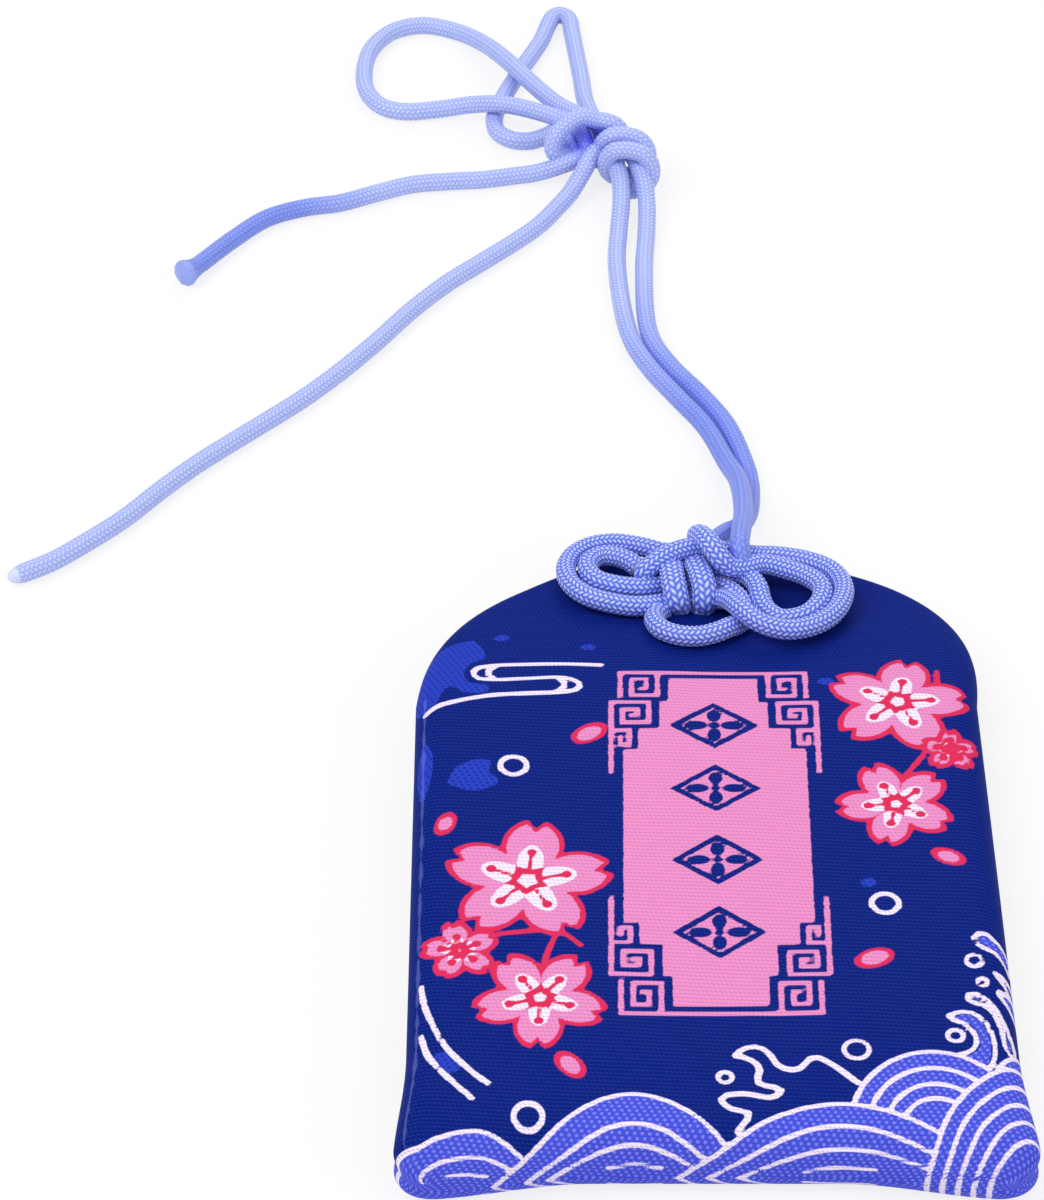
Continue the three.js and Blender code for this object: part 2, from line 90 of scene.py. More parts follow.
class CordSettings(bpy.types.PropertyGroup):
    """Thickness of the braided cord and its colours, as sRGB hex values."""

    diameter: FloatProperty(
        name="Diameter", description="Cord across its crowns", default=0.00192, subtype="DISTANCE"
    )
    yarns: IntProperty(
        name="Yarns", description="Yarns running each way, an even number", default=12, min=4, max=24, step=2
    )
    # the crowns carry a painted highlight and the grooves a painted shade
    crown: StringProperty(name="Crown", description="Top of the knot's yarns", default="#e2e9ff")
    yarn: StringProperty(name="Yarn", description="Slopes of the knot's yarns", default="#9bacf8")
    groove: StringProperty(name="Groove", description="Between the knot's yarns", default="#4a66e2")
    drawn_crown: StringProperty(name="Drawn crown", description="Hanging cord's crowns", default="#d2dbff")
    drawn_yarn: StringProperty(name="Drawn yarn", description="Hanging cord's slopes", default="#b7c4fa")
    drawn_groove: StringProperty(name="Drawn groove", description="Hanging cord's grooves", default="#9cacf4")
    # painted shade: this colour darkens the neck near the knot and the short tail's end
    painted_shade_tint: StringProperty(name="Tint", description="Deeper dye of neck and tail end", default="#b5c2f2")


class StageSettings(bpy.types.PropertyGroup):
    """Camera and light."""

    lens: FloatProperty(name="Lens", description="Focal length on a 36 mm frame", default=148.28)
    light: FloatProperty(name="Light", description="Power of the key light", default=4.15, unit="POWER")


# Meshes


def linear(hex_colour):
    """sRGB hex value as linear red, green, blue and a full alpha."""
    srgb = np.array([int(hex_colour[i : i + 2], 16) for i in (1, 3, 5)]) / 255
    rgb = np.where(srgb <= 0.04045, srgb / 12.92, ((srgb + 0.055) / 1.055) ** 2.4)
    return (*rgb.tolist(), 1.0)


def smooth(t):
    """Smooth step from 0 to 1."""
    t = np.clip(t, 0, 1)
    return t * t * (3 - 2 * t)


def surface(name, points, faces, fields=None, uv=None):
    """Mesh object from points in millimetres, quads as rows of indices, point fields and corner UVs."""
    mesh = bpy.data.meshes.new(name)
    mesh.vertices.add(len(points))
    mesh.vertices.foreach_set("co", (np.asarray(points) * MM).astype(np.float32).ravel())
    mesh.loops.add(faces.size)
    mesh.loops.foreach_set("vertex_index", faces.astype(np.int32).ravel())
    mesh.polygons.add(len(faces))
    mesh.polygons.foreach_set("loop_start", np.arange(0, faces.size, 4, dtype=np.int32))
    mesh.update(calc_edges=True)
    mesh.polygons.foreach_set("use_smooth", np.ones(len(mesh.polygons), dtype=bool))
    for key, values in (fields or {}).items():
        layer = mesh.attributes.new(key, "FLOAT", "POINT")
        layer.data.foreach_set("value", np.asarray(values, dtype=np.float32).ravel())
    if uv is not None:
        layer = mesh.uv_layers.new(name="weave")
        layer.uv.foreach_set("vector", np.asarray(uv, dtype=np.float32).ravel())
    if mesh.validate():
        raise RuntimeError(f"{name}: the mesh has faulty faces")
    piece = bpy.data.objects.new(name, mesh)
    bpy.context.collection.objects.link(piece)
    return piece


def two_sided(rows, columns):
    """Quads of a front and a back grid that share their outer points, and which points aren't shared.

    The back's own points follow all of the front's, and its quads are turned over.
    """
    front = np.arange(rows * columns).reshape(rows, columns)
    inner = np.zeros((rows, columns), dtype=bool)
    inner[1:-1, 1:-1] = True
    back = front.copy()
    back[inner] = rows * columns + np.arange(inner.sum())
    quads = [
        np.stack([grid[:-1, :-1], grid[:-1, 1:], grid[1:, 1:], grid[1:, :-1]], axis=-1).reshape(-1, 4)
        for grid in (front, back)
    ]
    return np.vstack([quads[0], quads[1][:, ::-1]]), inner


FINE = 40  # points worked out between two of a curve's own


def curve_through(points, step):
    """Centripetal Catmull-Rom curve through the points, as points a step apart along it."""
    p = np.asarray(points, dtype=float)
    p = np.vstack([2 * p[0] - p[1], p, 2 * p[-1] - p[-2]])
    knot = np.concatenate([[0], np.cumsum(np.sqrt(np.linalg.norm(np.diff(p, axis=0), axis=1)))])
    share = np.linspace(0, 1, FINE, endpoint=False)[None, :, None]
    t0, t1, t2, t3 = (knot[i : len(knot) - 3 + i, None, None] for i in range(4))
    p0, p1, p2, p3 = (p[i : len(p) - 3 + i, None, :] for i in range(4))
    t = t1 + (t2 - t1) * share
    a1 = (t1 - t) / (t1 - t0) * p0 + (t - t0) / (t1 - t0) * p1
    a2 = (t2 - t) / (t2 - t1) * p1 + (t - t1) / (t2 - t1) * p2
    a3 = (t3 - t) / (t3 - t2) * p2 + (t - t2) / (t3 - t2) * p3
    b1 = (t2 - t) / (t2 - t0) * a1 + (t - t0) / (t2 - t0) * a2
    b2 = (t3 - t) / (t3 - t1) * a2 + (t - t1) / (t3 - t1) * a3
    fine = ((t2 - t) / (t2 - t1) * b1 + (t - t1) / (t2 - t1) * b2).reshape(-1, p.shape[1])
    fine = np.vstack([fine, p[-2]])
    run = np.concatenate([[0], np.cumsum(np.linalg.norm(np.diff(fine, axis=0), axis=1))])
    even = np.linspace(0, run[-1], max(2, round(run[-1] / step) + 1))
    return np.stack([np.interp(even, run, fine[:, i]) for i in range(p.shape[1])], axis=1)


def frames_along(path):
    """Two directions across a path at each of its points, carried along it with the least turning."""
    tangent = np.gradient(path, axis=0)
    tangent /= np.linalg.norm(tangent, axis=1, keepdims=True)
    seed = np.eye(3)[np.argmin(np.abs(tangent[0]))]
    side = np.empty_like(path)
    side[0] = np.cross(tangent[0], seed)
    for i in range(1, len(path)):
        side[i] = side[i - 1] - tangent[i] * (side[i - 1] @ tangent[i])
        side[i] /= np.linalg.norm(side[i])
    side[0] /= np.linalg.norm(side[0])
    return side, np.cross(tangent, side)


STEPS_PER_CELL = 3  # points of the mesh to each crossing of two yarns
STRETCH = 0.95  # length of a crossing along the cord, against its width
RELIEF = 0.09  # how deep the grooves of the braid are, as a share of the radius
PRESS = 0.22  # how much wider, and flatter, a fully pressed strand is
ON_CROWN = (0.75, 399.75)  # counts on top of a yarn, for the cord's ends
LEAVING = (110.0, 70.0)  # crossings from the knot over which the painted shade on a strand fades out
TAIL_END = (48.0, 68.0)  # crossings from the bow over which the painted shade on the short tail's end comes in
BOW_FOLD = (-0.0083, 0.108, 0.0026)  # middle of the bow in metres, where its strands press on each other and shade is painted into the cords' colour
BOW_FOLD_REACH = (1.0, 3.4)  # millimetres from there over which the painted shade fades
# colour of the painted shade in the bow's fold
BOW_FOLD_PAINTED_SHADE = "#5b6cf0"
DRAWN_RELIEF = 0.3  # strength of the braid's bump on the hanging cord, and in the knot
TIED_RELIEF = 0.5


def braided_cord(name, route, settings, end_scale=(), sealed=0):
    """Braided tube along a route, closed at both ends.

    The ring's angle and the length along the path, counted in crossings, number two sets of yarns that
    run helically either way: angle + length and angle - length. The radius is full in the middle of a
    yarn's float and falls off to its ends. The UV holds both counts for the material. end_scale lists
    the radius factors of the last rings, sealed is how many of them are melted smooth, and a fourth
    number in the route flattens the tube and widens it as far.
    """
    radius = settings.diameter / MM / 2
    sides = STEPS_PER_CELL * settings.yarns
    step = 2 * math.pi * radius / sides * STRETCH
    path = curve_through(route, step)
    flat = path[:, 3:].sum(axis=1)[:, None, None]
    path = path[:, :3]
    side, up = frames_along(path)
    rings = len(path)
    scale = np.ones((rings, 1))
    scale[rings - len(end_scale) :, 0] = end_scale
    ring, here = np.arange(rings)[:, None], np.arange(sides)[None, :]
    crown = float_height((here + ring) / STEPS_PER_CELL, (here - ring) / STEPS_PER_CELL)
    r = radius * (1 - RELIEF * (1 - crown)) * scale
    angle = 2 * math.pi * here / sides
    around = (r * np.cos(angle))[..., None] * side[:, None, :]
    around += (r * np.sin(angle))[..., None] * up[:, None, :]
    around *= 1 + PRESS * flat * np.array((1.0, 1.0, -1.0))
    points = (path[:, None, :] + around).reshape(-1, 3)

    ring = ring[:-1]
    turn, along = np.array((0, 1, 1, 0)), np.array((0, 0, 1, 1))
    corners = np.stack(np.broadcast_arrays(
        (here[..., None] + turn) / STEPS_PER_CELL, (ring[..., None] + along) / STEPS_PER_CELL
    ), axis=-1).reshape(-1, 4, 2)
    faces = ((ring[..., None] + along) * sides + (here[..., None] + turn) % sides).reshape(-1, 4)
    caps = np.vstack([cap_quads(sides, 0), cap_quads(sides, (rings - 1) * sides)[:, ::-1]])
    faces = np.vstack([faces, caps])
    corners[len(corners) - sealed * sides :] = ON_CROWN
    corners = np.vstack([corners, np.broadcast_to(ON_CROWN, (len(caps), 4, 2))])
    return surface(name, points, faces, uv=corners), path


def float_height(a, b):
    """Height of a braid whose yarns pass over two and under two, from 0 to 1, at a count of both sets.

    A yarn of set a is on top over the first two of every four yarns of set b, one further along from
    yarn to yarn. The height is the root of the distance from its edges times that from its ends.
    """
    run_a, run_b = b + np.floor(a), a + np.floor(b)
    on_top = run_a % 4 < 2
    across = np.where(on_top, a, b) % 1
    along = np.where(on_top, run_a, run_b) % 2 / 2
    return 2 * np.sqrt(np.minimum(across, 1 - across) * np.minimum(along, 1 - along))


def cap_quads(sides, first):
    """Quads across a ring of an even number of points, from one side of it to the other."""
    i = np.arange(sides // 2 - 1)
    return np.stack([i, sides - 1 - i, sides - 2 - i, i + 1], axis=-1) + first


# Materials


def add_node(tree, kind, links=None, **settings):
    """Adds a shader node, sets its properties and its inputs, and links the inputs named in links.

    A link comes from a socket, or a node's first output. A setting that starts with in_ is an input.
    """
    node = tree.nodes.new("ShaderNode" + kind)
    for key, value in settings.items():
        if key.startswith("in_"):
            place = int(key[3:]) if key[3:].isdigit() else key[3:].replace("_", " ")
            node.inputs[place].default_value = value
        else:
            setattr(node, key, value)
    for key, source in (links or {}).items():
        socket = source.outputs[0] if isinstance(source, bpy.types.Node) else source
        tree.links.new(socket, node.inputs[key])
    return node


def new_material(name):
    """Empty node material with a Principled shader, and both its tree and that shader."""
    material = bpy.data.materials.new(name)
    material.use_nodes = True
    tree = material.node_tree
    tree.nodes.clear()
    shader = add_node(tree, "BsdfPrincipled")
    add_node(tree, "OutputMaterial", {"Surface": shader})
    return material, tree, shader


def dress(tree, shader, colour, height, strength, depth, roughness):
    """Gives a shader its colour, a bump from a height, as deep as that in millimetres, and its roughness."""
    bump = add_node(tree, "Bump", {"Height": height}, in_Strength=strength, in_Distance=depth * MM)
    tree.links.new(colour, shader.inputs["Base Color"])
    tree.links.new(bump.outputs["Normal"], shader.inputs["Normal"])
    shader.inputs["Roughness"].default_value = roughness


def cord_material(name, relief_seen, look, painted_shade_tint="", deeper=(0.0, 0.0)):
    """Round braid of bright polyester: satin yarns with a painted highlight on their crowns and painted
    shade, deep blue, in the grooves.

    The look is the colours of a yarn's crown and slope and of the groove beside it. A painted shade darkens
    it between two counts of crossings along the cord, and deepest in the bow's fold.
    """
    material, tree, shader = new_material(name)
    counts = add_node(tree, "UVMap", uv_map="weave")
    count = add_node(tree, "SeparateXYZ", {0: counts})
    # the formula of float_height: place across a yarn, and along its float, for both sets
    yarns = [
        add_node(tree, "Math", {0: count, 1: count.outputs[1]}, operation=way)
        for way in ("ADD", "SUBTRACT")
    ]
    across, along, runs = [], [], []
    for yarn, other in (yarns, yarns[::-1]):
        number = add_node(tree, "Math", {0: yarn}, operation="FLOOR")
        run = add_node(tree, "Math", {0: other, 1: number}, operation="ADD")
        runs.append(run)
        across.append(add_node(tree, "Math", {0: yarn}, operation="PINGPONG", in_1=0.5))
        along.append(add_node(tree, "Math", {0: run}, operation="PINGPONG", in_1=1.0))
    turn = add_node(tree, "Math", {0: runs[0]}, operation="WRAP", in_1=4.0, in_2=0.0)
    on_top = add_node(tree, "Math", {0: turn}, operation="LESS_THAN", in_1=2.0)
    picked = [
        add_node(tree, "Mix", {0: on_top, 2: pair[1], 3: pair[0]})
        for pair in (across, along)
    ]
    relief = add_node(tree, "Math", {0: picked[0], 1: picked[1]}, operation="MULTIPLY")
    coords = add_node(tree, "TexCoord")
    # the yarns' fibres are too fine to show, so they are drawn 0.25 mm wide
    fibre = add_node(
        tree, "TexNoise", {"Vector": coords.outputs["Object"]}, in_Scale=1 / (0.25 * MM), in_Detail=2.0
    )
    round_top = add_node(tree, "Math", {0: relief}, operation="SQRT")
    lift = add_node(
        tree, "Math", {0: fibre.outputs["Fac"], 2: round_top}, operation="MULTIPLY_ADD", in_1=0.15
    )
    share = add_node(tree, "MapRange", {"Value": lift}, in_From_Min=0.24, in_From_Max=0.78)
    # painted highlight on the crowns and painted shade in the grooves, following the braid's relief
    ramp = add_node(tree, "ValToRGB", {"Fac": share})
    stops = ramp.color_ramp.elements
    stops[0].position, stops[0].color = 0.08, linear(look[2])
    stops[1].position, stops[1].color = 0.92, linear(look[0])
    stops.new(0.42).color = linear(look[1])
    colour = ramp.outputs["Color"]
    if painted_shade_tint:
        # painted shade along the cord, between two counts of crossings
        painted_shade_share = add_node(
            tree, "MapRange", {"Value": count.outputs[1]}, in_From_Min=deeper[0], in_From_Max=deeper[1]
        )
        # painted shade in the bow's fold, darkest at its middle
        from_fold = add_node(
            tree, "VectorMath", {0: coords.outputs["Object"]}, operation="DISTANCE", in_1=BOW_FOLD
        )
        folded = add_node(
            tree, "MapRange", {"Value": from_fold.outputs["Value"]},
            in_From_Min=BOW_FOLD_REACH[1] * MM, in_From_Max=BOW_FOLD_REACH[0] * MM,
        )
        # both painted shades multiply the cord's colour
        for depth, painted_shade_colour in ((painted_shade_share, painted_shade_tint), (folded, BOW_FOLD_PAINTED_SHADE)):
            colour = add_node(
                tree, "Mix", {0: depth, 6: colour},
                data_type="RGBA", blend_type="MULTIPLY", in_7=linear(painted_shade_colour),
            ).outputs[2]
    dress(tree, shader, colour, share.outputs[0], relief_seen, depth=0.12, roughness=0.42)
    shader.inputs["Sheen Weight"].default_value = 0.25
    shader.inputs["Sheen Roughness"].default_value = 0.4
    return material


def fibre_material(name, hex_colour, grain, roughness):
    """Matted fibres, as in wadding, board or paper, with darker specks a grain across, in millimetres."""
    material, tree, shader = new_material(name)
    coords = add_node(tree, "TexCoord")
    specks = add_node(
        tree, "TexNoise", {"Vector": coords.outputs["Object"]}, in_Scale=1 / (grain * MM), in_Detail=4.0
    )
    ramp = add_node(tree, "ValToRGB", {"Fac": specks.outputs["Fac"]})
    light = linear(hex_colour)
    ramp.color_ramp.elements[0].position = 0.3
    ramp.color_ramp.elements[0].color = tuple(c * 0.82 for c in light[:3]) + (1.0,)
    ramp.color_ramp.elements[1].position = 0.65
    ramp.color_ramp.elements[1].color = light
    dress(tree, shader, ramp.outputs["Color"], specks.outputs["Fac"], 0.3, 0.1, roughness)
    return material


def wood_material():
    """Planed cypress: straight pale grain along the tag, its rings about 1.2 mm apart."""
    material, tree, shader = new_material("tag_planed_cypress")
    coords = add_node(tree, "TexCoord")
    stretch = add_node(tree, "Mapping", {"Vector": coords.outputs["Object"]}, in_Scale=(1, 0.06, 1))
    grain = add_node(
        tree,
        "TexWave",
        {"Vector": stretch},
        wave_type="BANDS",
        bands_direction="X",
        in_Scale=2 * math.pi / (20 * 1.2 * MM),
        in_Distortion=2.5,
        in_Detail=3.0,
    )
    ramp = add_node(tree, "ValToRGB", {"Fac": grain.outputs["Fac"]})
    ramp.color_ramp.elements[0].color = linear("#c99f68")
    ramp.color_ramp.elements[1].color = linear("#e6c795")
    dress(tree, shader, ramp.outputs["Color"], grain.outputs["Fac"], strength=0.15, depth=0.05, roughness=0.6)
    return material


# Cord routes, close to those of the part's source: X, Y from the pouch's top edge, Z above the table

# the charm knot, drawn so tight that its strands press into each other
OUTER_EARS = [
    (-1.8, -0.2, 5.3), (-3.2, 0.3, 5.5), (-5.1, 0.95, 5.55), (-7.3, 1.2, 5.6), (-9.4, 0.55, 5.65),
    (-10.9, -1.0, 5.75), (-11.45, -3.1, 5.9), (-10.95, -5.3, 6.1), (-9.5, -7.0, 6.2), (-7.3, -8.0, 6.2),
    (-5.2, -8.2, 6.0), (-3.3, -7.5, 5.6), (-1.6, -6.6, 5.2), (0.2, -6.4, 5.2), (1.8, -6.8, 5.6),
    (3.1, -8.2, 6.8), (4.3, -10.9, 7.9), (5.8, -12.5, 7.8), (7.9, -13.0, 7.4), (10.0, -12.4, 7.1),
    (12.0, -11.0, 6.95), (13.35, -8.7, 6.75), (13.75, -6.0, 6.5), (12.9, -3.6, 6.3), (10.8, -2.1, 6.2),
    (8.1, -1.4, 6.2), (5.9, -1.5, 6.4), (4.0, -2.0, 7.1), (2.2, -2.2, 7.7), (0.5, -2.1, 7.9),
    (-1.3, -2.75, 8.0), (-2.9, -3.7, 7.8), (-3.9, -4.3, 7.3), (-4.4, -4.5, 6.7), (-4.0, -4.3, 6.2),
]
INNER_RIGHT_EAR = [
    (-3.3, -3.7, 5.9), (-1.9, -3.0, 5.5), (-0.1, -2.8, 5.5), (1.8, -2.9, 5.7), (3.1, -3.4, 6.1),
    (4.4, -4.1, 6.4), (5.4, -4.9, 6.5), (6.0, -6.2, 6.5), (6.2, -7.6, 6.4), (6.7, -9.0, 6.2),
    (8.0, -10.3, 6.3), (10.1, -10.1, 6.6), (11.5, -8.5, 6.8), (11.75, -6.5, 6.8), (10.6, -4.9, 6.7),
    (8.6, -3.9, 6.8), (6.5, -3.5, 7.1), (4.8, -4.1, 7.3), (3.4, -4.6, 7.7), (2.5, -4.4, 8.6),
    (1.75, -3.4, 9.2), (1.1, -1.9, 9.0), (0.7, -0.4, 8.0), (0.9, 0.8, 6.2),
]
OVER_FROM = 17  # point from which that strand runs on top of the knot
OVER_PRESSED = 0.5  # how far it is pressed flat there


def behind_pouch(edge_x, slot_x, slot_y):
    """From the top edge down behind the pouch to the slot."""
    return [
        (edge_x, 1.7, 3.6), (edge_x, 1.1, 2.0), (edge_x - 0.2, -0.6, 1.4),
        ((edge_x + slot_x) / 2, -5.0, 1.35), (slot_x, slot_y + 1.6, 1.4), (slot_x, slot_y + 0.2, 2.5),
        (slot_x, slot_y, 4.4),
    ]


WRAP_RIGHT = [
    (1.1, -7.2, 5.2), (1.1, -7.6, 6.3), (1.05, -6.9, 7.2), (0.75, -5.3, 7.5), (0.45, -3.9, 7.3),
    (0.3, -2.2, 6.4), (0.2, -0.3, 5.6), (-0.1, 0.9, 4.8),
]
WRAP_LEFT = [
    (-1.1, -7.2, 5.2), (-1.4, -7.7, 6.3), (-1.6, -7.1, 7.1), (-1.8, -5.5, 7.4), (-1.9, -4.2, 7.3),
    (-1.9, -2.5, 6.4), (-2.0, -0.6, 5.6), (-2.3, 0.9, 4.8),
]
BOTTOM_LOOP = [
    (-2.7, -7.9, 5.2), (-3.3, -8.9, 5.6), (-3.5, -10.7, 6.3), (-2.8, -12.3, 6.7), (-1.3, -13.2, 6.85),
    (0.45, -13.3, 6.85), (2.0, -12.7, 6.8), (3.1, -11.7, 6.5), (4.0, -10.7, 6.0), (4.7, -9.6, 5.8),
    (4.7, -8.5, 5.9), (4.3, -7.2, 6.0), (3.4, -6.0, 6.0), (2.4, -4.9, 5.6),
]
INNER_LEFT_EAR = [
    (1.3, -4.6, 5.4), (0.0, -4.4, 5.4), (-1.6, -4.5, 5.4), (-3.2, -5.1, 5.8), (-5.1, -5.7, 6.1),
    (-7.0, -5.6, 6.3), (-8.7, -4.8, 6.3), (-9.45, -3.3, 6.2), (-9.2, -2.0, 6.1), (-8.2, -1.1, 6.0),
    (-6.9, -1.2, 6.0), (-5.6, -1.9, 6.0), (-4.8, -2.7, 5.9),
]


def pressed(route, share):
    """The route with a fourth number, how far its strand is pressed flat."""
    return [(*point, share) for point in route]


CHARM_KNOT = (
    pressed(OUTER_EARS + INNER_RIGHT_EAR[:OVER_FROM], 0.0)
    + pressed(INNER_RIGHT_EAR[OVER_FROM:], OVER_PRESSED)
    + pressed(behind_pouch(1.6, 0.8, -7.3), 0.0) + pressed(WRAP_RIGHT, 1.0)
    + pressed(behind_pouch(-0.1, -1.2, -7.3), 0.0) + pressed(WRAP_LEFT, 1.0)
    + pressed(behind_pouch(-2.3, -2.9, -7.9) + BOTTOM_LOOP + INNER_LEFT_EAR, 0.0)
)
LYING = 0.97  # height of a cord's middle where it lies on the table
NECK_LEFT = [
    (4.9, -4.2, 6.6), (4.4, -2.8, 8.4), (4.55, -0.7, 8.2), (4.95, 2.9, 6.9), (5.2, 7.3, 5.1),
    (5.2, 11.0, 3.9), (4.95, 14.2, 2.9), (4.2, 17.8, 1.8), (2.3, 24.6), (-0.35, 29.3), (-3.0, 34.2),
    (-4.7, 39.1), (-5.8, 51.0), (-5.5, 57.0, 1.3), (-5.2, 60.6, 2.2), (-5.3, 63.8, 2.9), (-5.9, 67.0, 3.1),
    (-6.8, 70.0, 2.9),
]
NECK_RIGHT = [
    (1.6, 0.4, 6.0), (3.4, 2.9, 5.4), (4.4, 4.6, 4.5), (5.25, 6.9, 3.4), (5.9, 9.7, 2.2), (6.25, 13.0, 1.4),
    (6.3, 15.9), (6.0, 18.3), (4.45, 24.6), (2.15, 29.3), (-0.8, 34.2), (-2.68, 39.1), (-3.05, 50.0),
    (-2.7, 56.0), (-2.55, 60.5, 1.8), (-2.9, 63.6, 2.9), (-4.0, 66.8, 3.7), (-5.8, 70.0, 4.1),
]
LOOP_UPRIGHT = [
    (-7.3, 72.9, 2.5), (-8.7, 80.3, 1.4), (-9.1, 85.4), (-10.05, 94.8), (-10.15, 96.2), (-10.5, 97.2),
    (-11.3, 97.7), (-12.05, 97.2), (-12.45, 96.2), (-12.75, 95.1), (-13.35, 92.6), (-16.1, 85.4),
    (-17.5, 81.3), (-18.4, 77.5), (-18.0, 74.9), (-16.5, 73.5), (-14.6, 73.3), (-13.0, 73.5, 1.4),
    (-11.7, 73.4, 2.2), (-10.8, 71.8, 2.5), (-10.3, 69.9, 2.4), (-9.4, 68.7, 2.0),
]
LOOP_LARGE = [
    (-8.0, 72.4, 4.1), (-11.2, 75.9, 3.5), (-13.2, 79.0, 3.2), (-17.5, 86.8, 2.6), (-19.8, 91.2, 1.6),
    (-22.5, 94.3), (-26.2, 95.6), (-29.4, 94.5), (-31.7, 91.2), (-32.5, 86.4), (-32.0, 82.3), (-30.3, 79.7),
    (-27.9, 78.8), (-24.2, 79.1, 1.1), (-20.8, 78.6, 2.0), (-18.0, 77.3, 2.95), (-15.2, 76.0, 3.3),
    (-10.4, 73.0, 3.4), (-9.2, 71.2, 3.3), (-8.7, 69.4, 3.0), (-8.2, 68.2, 2.5),
]
UPRIGHT = NECK_LEFT + LOOP_UPRIGHT
LARGE = NECK_RIGHT + LOOP_LARGE
TAIL_SHORT = [
    (-8.2, 68.6, 2.6), (-9.6, 67.9, 2.4), (-11.2, 67.4, 2.0), (-12.8, 67.2, 1.5), (-14.4, 67.1, 1.1),
    (-16.2, 66.9), (-19.4, 66.2), (-23.2, 65.85), (-26.9, 65.3), (-30.65, 63.7), (-34.3, 62.0),
    (-38.0, 61.1), (-41.7, 59.3), (-45.2, 55.4), (-48.6, 50.5, LYING + 0.2), (-50.0, 48.6, LYING + 0.5),
]
TAIL_LONG = [
    (-6.9, 69.6, 2.6), (-7.4, 68.6, 3.1), (-7.9, 67.6, 3.4), (-8.5, 66.5, 3.0), (-9.3, 65.2, 2.2),
    (-10.4, 63.4, 1.3), (-11.9, 61.0), (-13.7, 58.0), (-15.7, 55.6), (-19.3, 51.8), (-22.95, 48.0),
    (-26.5, 43.4), (-30.0, 38.0), (-33.4, 33.2), (-36.8, 29.0), (-40.2, 25.4), (-43.5, 22.0), (-46.8, 18.5),
    (-50.0, 14.55), (-53.1, 10.4), (-56.3, 7.0), (-59.4, 4.1), (-63.3, 1.6),
]

BOW_START = np.array((-4.5, 63.8, 3.3))
BOW_AXIS = np.array((-0.12, 0.99, 0.0))
BOW_PITCH = 2.75
BOW_TURNS = 2.5
BOW_CORE = 0.5  # half the distance between the two cords that the turns go round
BOW_RADIUS = 2.1
BOW_LEFT_SHARE = 0.75  # how far the turns reach to the left, against the right
BOW_LAST_OUT = 2.2  # how far the last turn lies to the left of the others
BOW_LAST = (1.6, 0.65)  # turns before it starts to, and over which it gets there
# the top turn's end: over the bow to the left, and back under it
BOW_TOP_BAND = [
    (-9.3, 70.4, 5.9), (-10.9, 69.5, 5.5), (-12.0, 68.7, 4.5), (-12.2, 68.3, 3.2), (-11.3, 68.6, 2.2),
    (-9.8, 69.0, 1.9),
]


def bow_winding():
    """Turns round the two neck cords: half a circle round either, with flat runs over and under both."""
    turn = np.linspace(0, BOW_TURNS, 61)[:, None]
    angle = 2 * math.pi * turn - math.pi / 2
    out = BOW_CORE * np.clip(2 * np.cos(angle), -1, 1) + BOW_RADIUS * np.cos(angle)
    out = np.where(out < 0, BOW_LEFT_SHARE * out, out)
    out -= BOW_LAST_OUT * smooth((turn - BOW_LAST[0]) / BOW_LAST[1])
    height = BOW_RADIUS * np.sin(angle)
    turns = BOW_START + BOW_PITCH * turn * BOW_AXIS + np.hstack([out, 0 * turn, height])
    return np.vstack([turns, BOW_TOP_BAND])


def from_top(route):
    """A route's points with Y measured from the origin; a point without its height lies on the table."""
    points = np.array([point if len(point) > 2 else (*point, LYING) for point in route], dtype=float)
    points[:, 1] += TOP
    return points


# The pouch's form, by the formulas of the part's source, with low waves

HALF_WIDTH = 25.0
SEAM = 3.6  # height of the side seam above the table
FRONT_DEPTH = 3.2
EDGE = 3.2  # how far the sides and the bottom roll over
MOUTH = 3.0
ROLL = 2.5  # power of the rolled edge: 2 is a quarter circle, more is squarer
SHOULDER = 20.6
SHOULDER_POWER = 2.35
SHOULDER_END = 0.97  # share of the shoulders' height at which the mouth cuts them off
FLARE = 0.9  # how much wider the bottom is, to each side
CORNER = 2.6  # radius of the bottom corners
LOW = 13  # height of the pouch's lowest part, which flares and whose edge bows up
BOTTOM_BOW = (0.6, 1.7)  # how far the bottom edge is raised, and how much more in its middle
BOTTOM_MIDDLE = (0.4, 0.55)  # half that middle as a share of the half width, and its fall to the corners
LEAN = 2.2  # how far the mouth leans to the right
CLOSING = (24, 0.82)  # height over which the pouch gets thinner to the mouth, and by what share
BACK_LIFT = (20.8, 6, 0.85)  # where the back lifts off the table, over what height, and by what share
MOUTH_CROWN = (1.3, 12)  # how far the mouth's edge arches up in the middle, and over what height
CROWN_PLACE = (-2, 5, 11)  # the arch's middle, half its level part and its fall to either side
# low waves of the filled cloth: height, turn for each millimetre across and up, and start
RIPPLES = ((0.10, 0.31, 0.12, 0.6), (0.09, -0.23, 0.17, 2.1), (0.05, 0.21, 0.62, 0.0))
PINCH = (0.012, 0.25)  # share by which the seam draws the sides in, and how far up the roll
UNDER = 1.3  # how far the front's pattern runs on under the bottom edge
FOLD = 1.0  # how far in from the left side the painted highlight on the fold of its seam lies
FOLD_END = (22, 8, 3)  # where it ends below the top edge, over what height, and how far it gets away there
NO_FOLD = 9.0  # a distance from the fold at which it doesn't show


def half_width(y):
    """Half the pouch's width: straight, with flared round corners below and round shoulders above.

    A corner is a quarter circle, and a shoulder a quarter of a squarer oval.
    """
    low = y + TOP
    width = HALF_WIDTH + FLARE * (1 - smooth(low / LOW))
    corner = np.clip(1 - low / CORNER, 0, 1)
    width = width - CORNER * (1 - np.sqrt(1 - corner**2))
    rise = np.clip((y - (TOP - SHOULDER_END * SHOULDER)) / SHOULDER, 0, SHOULDER_END)
    return width * (1 - rise**SHOULDER_POWER) ** (1 / SHOULDER_POWER)


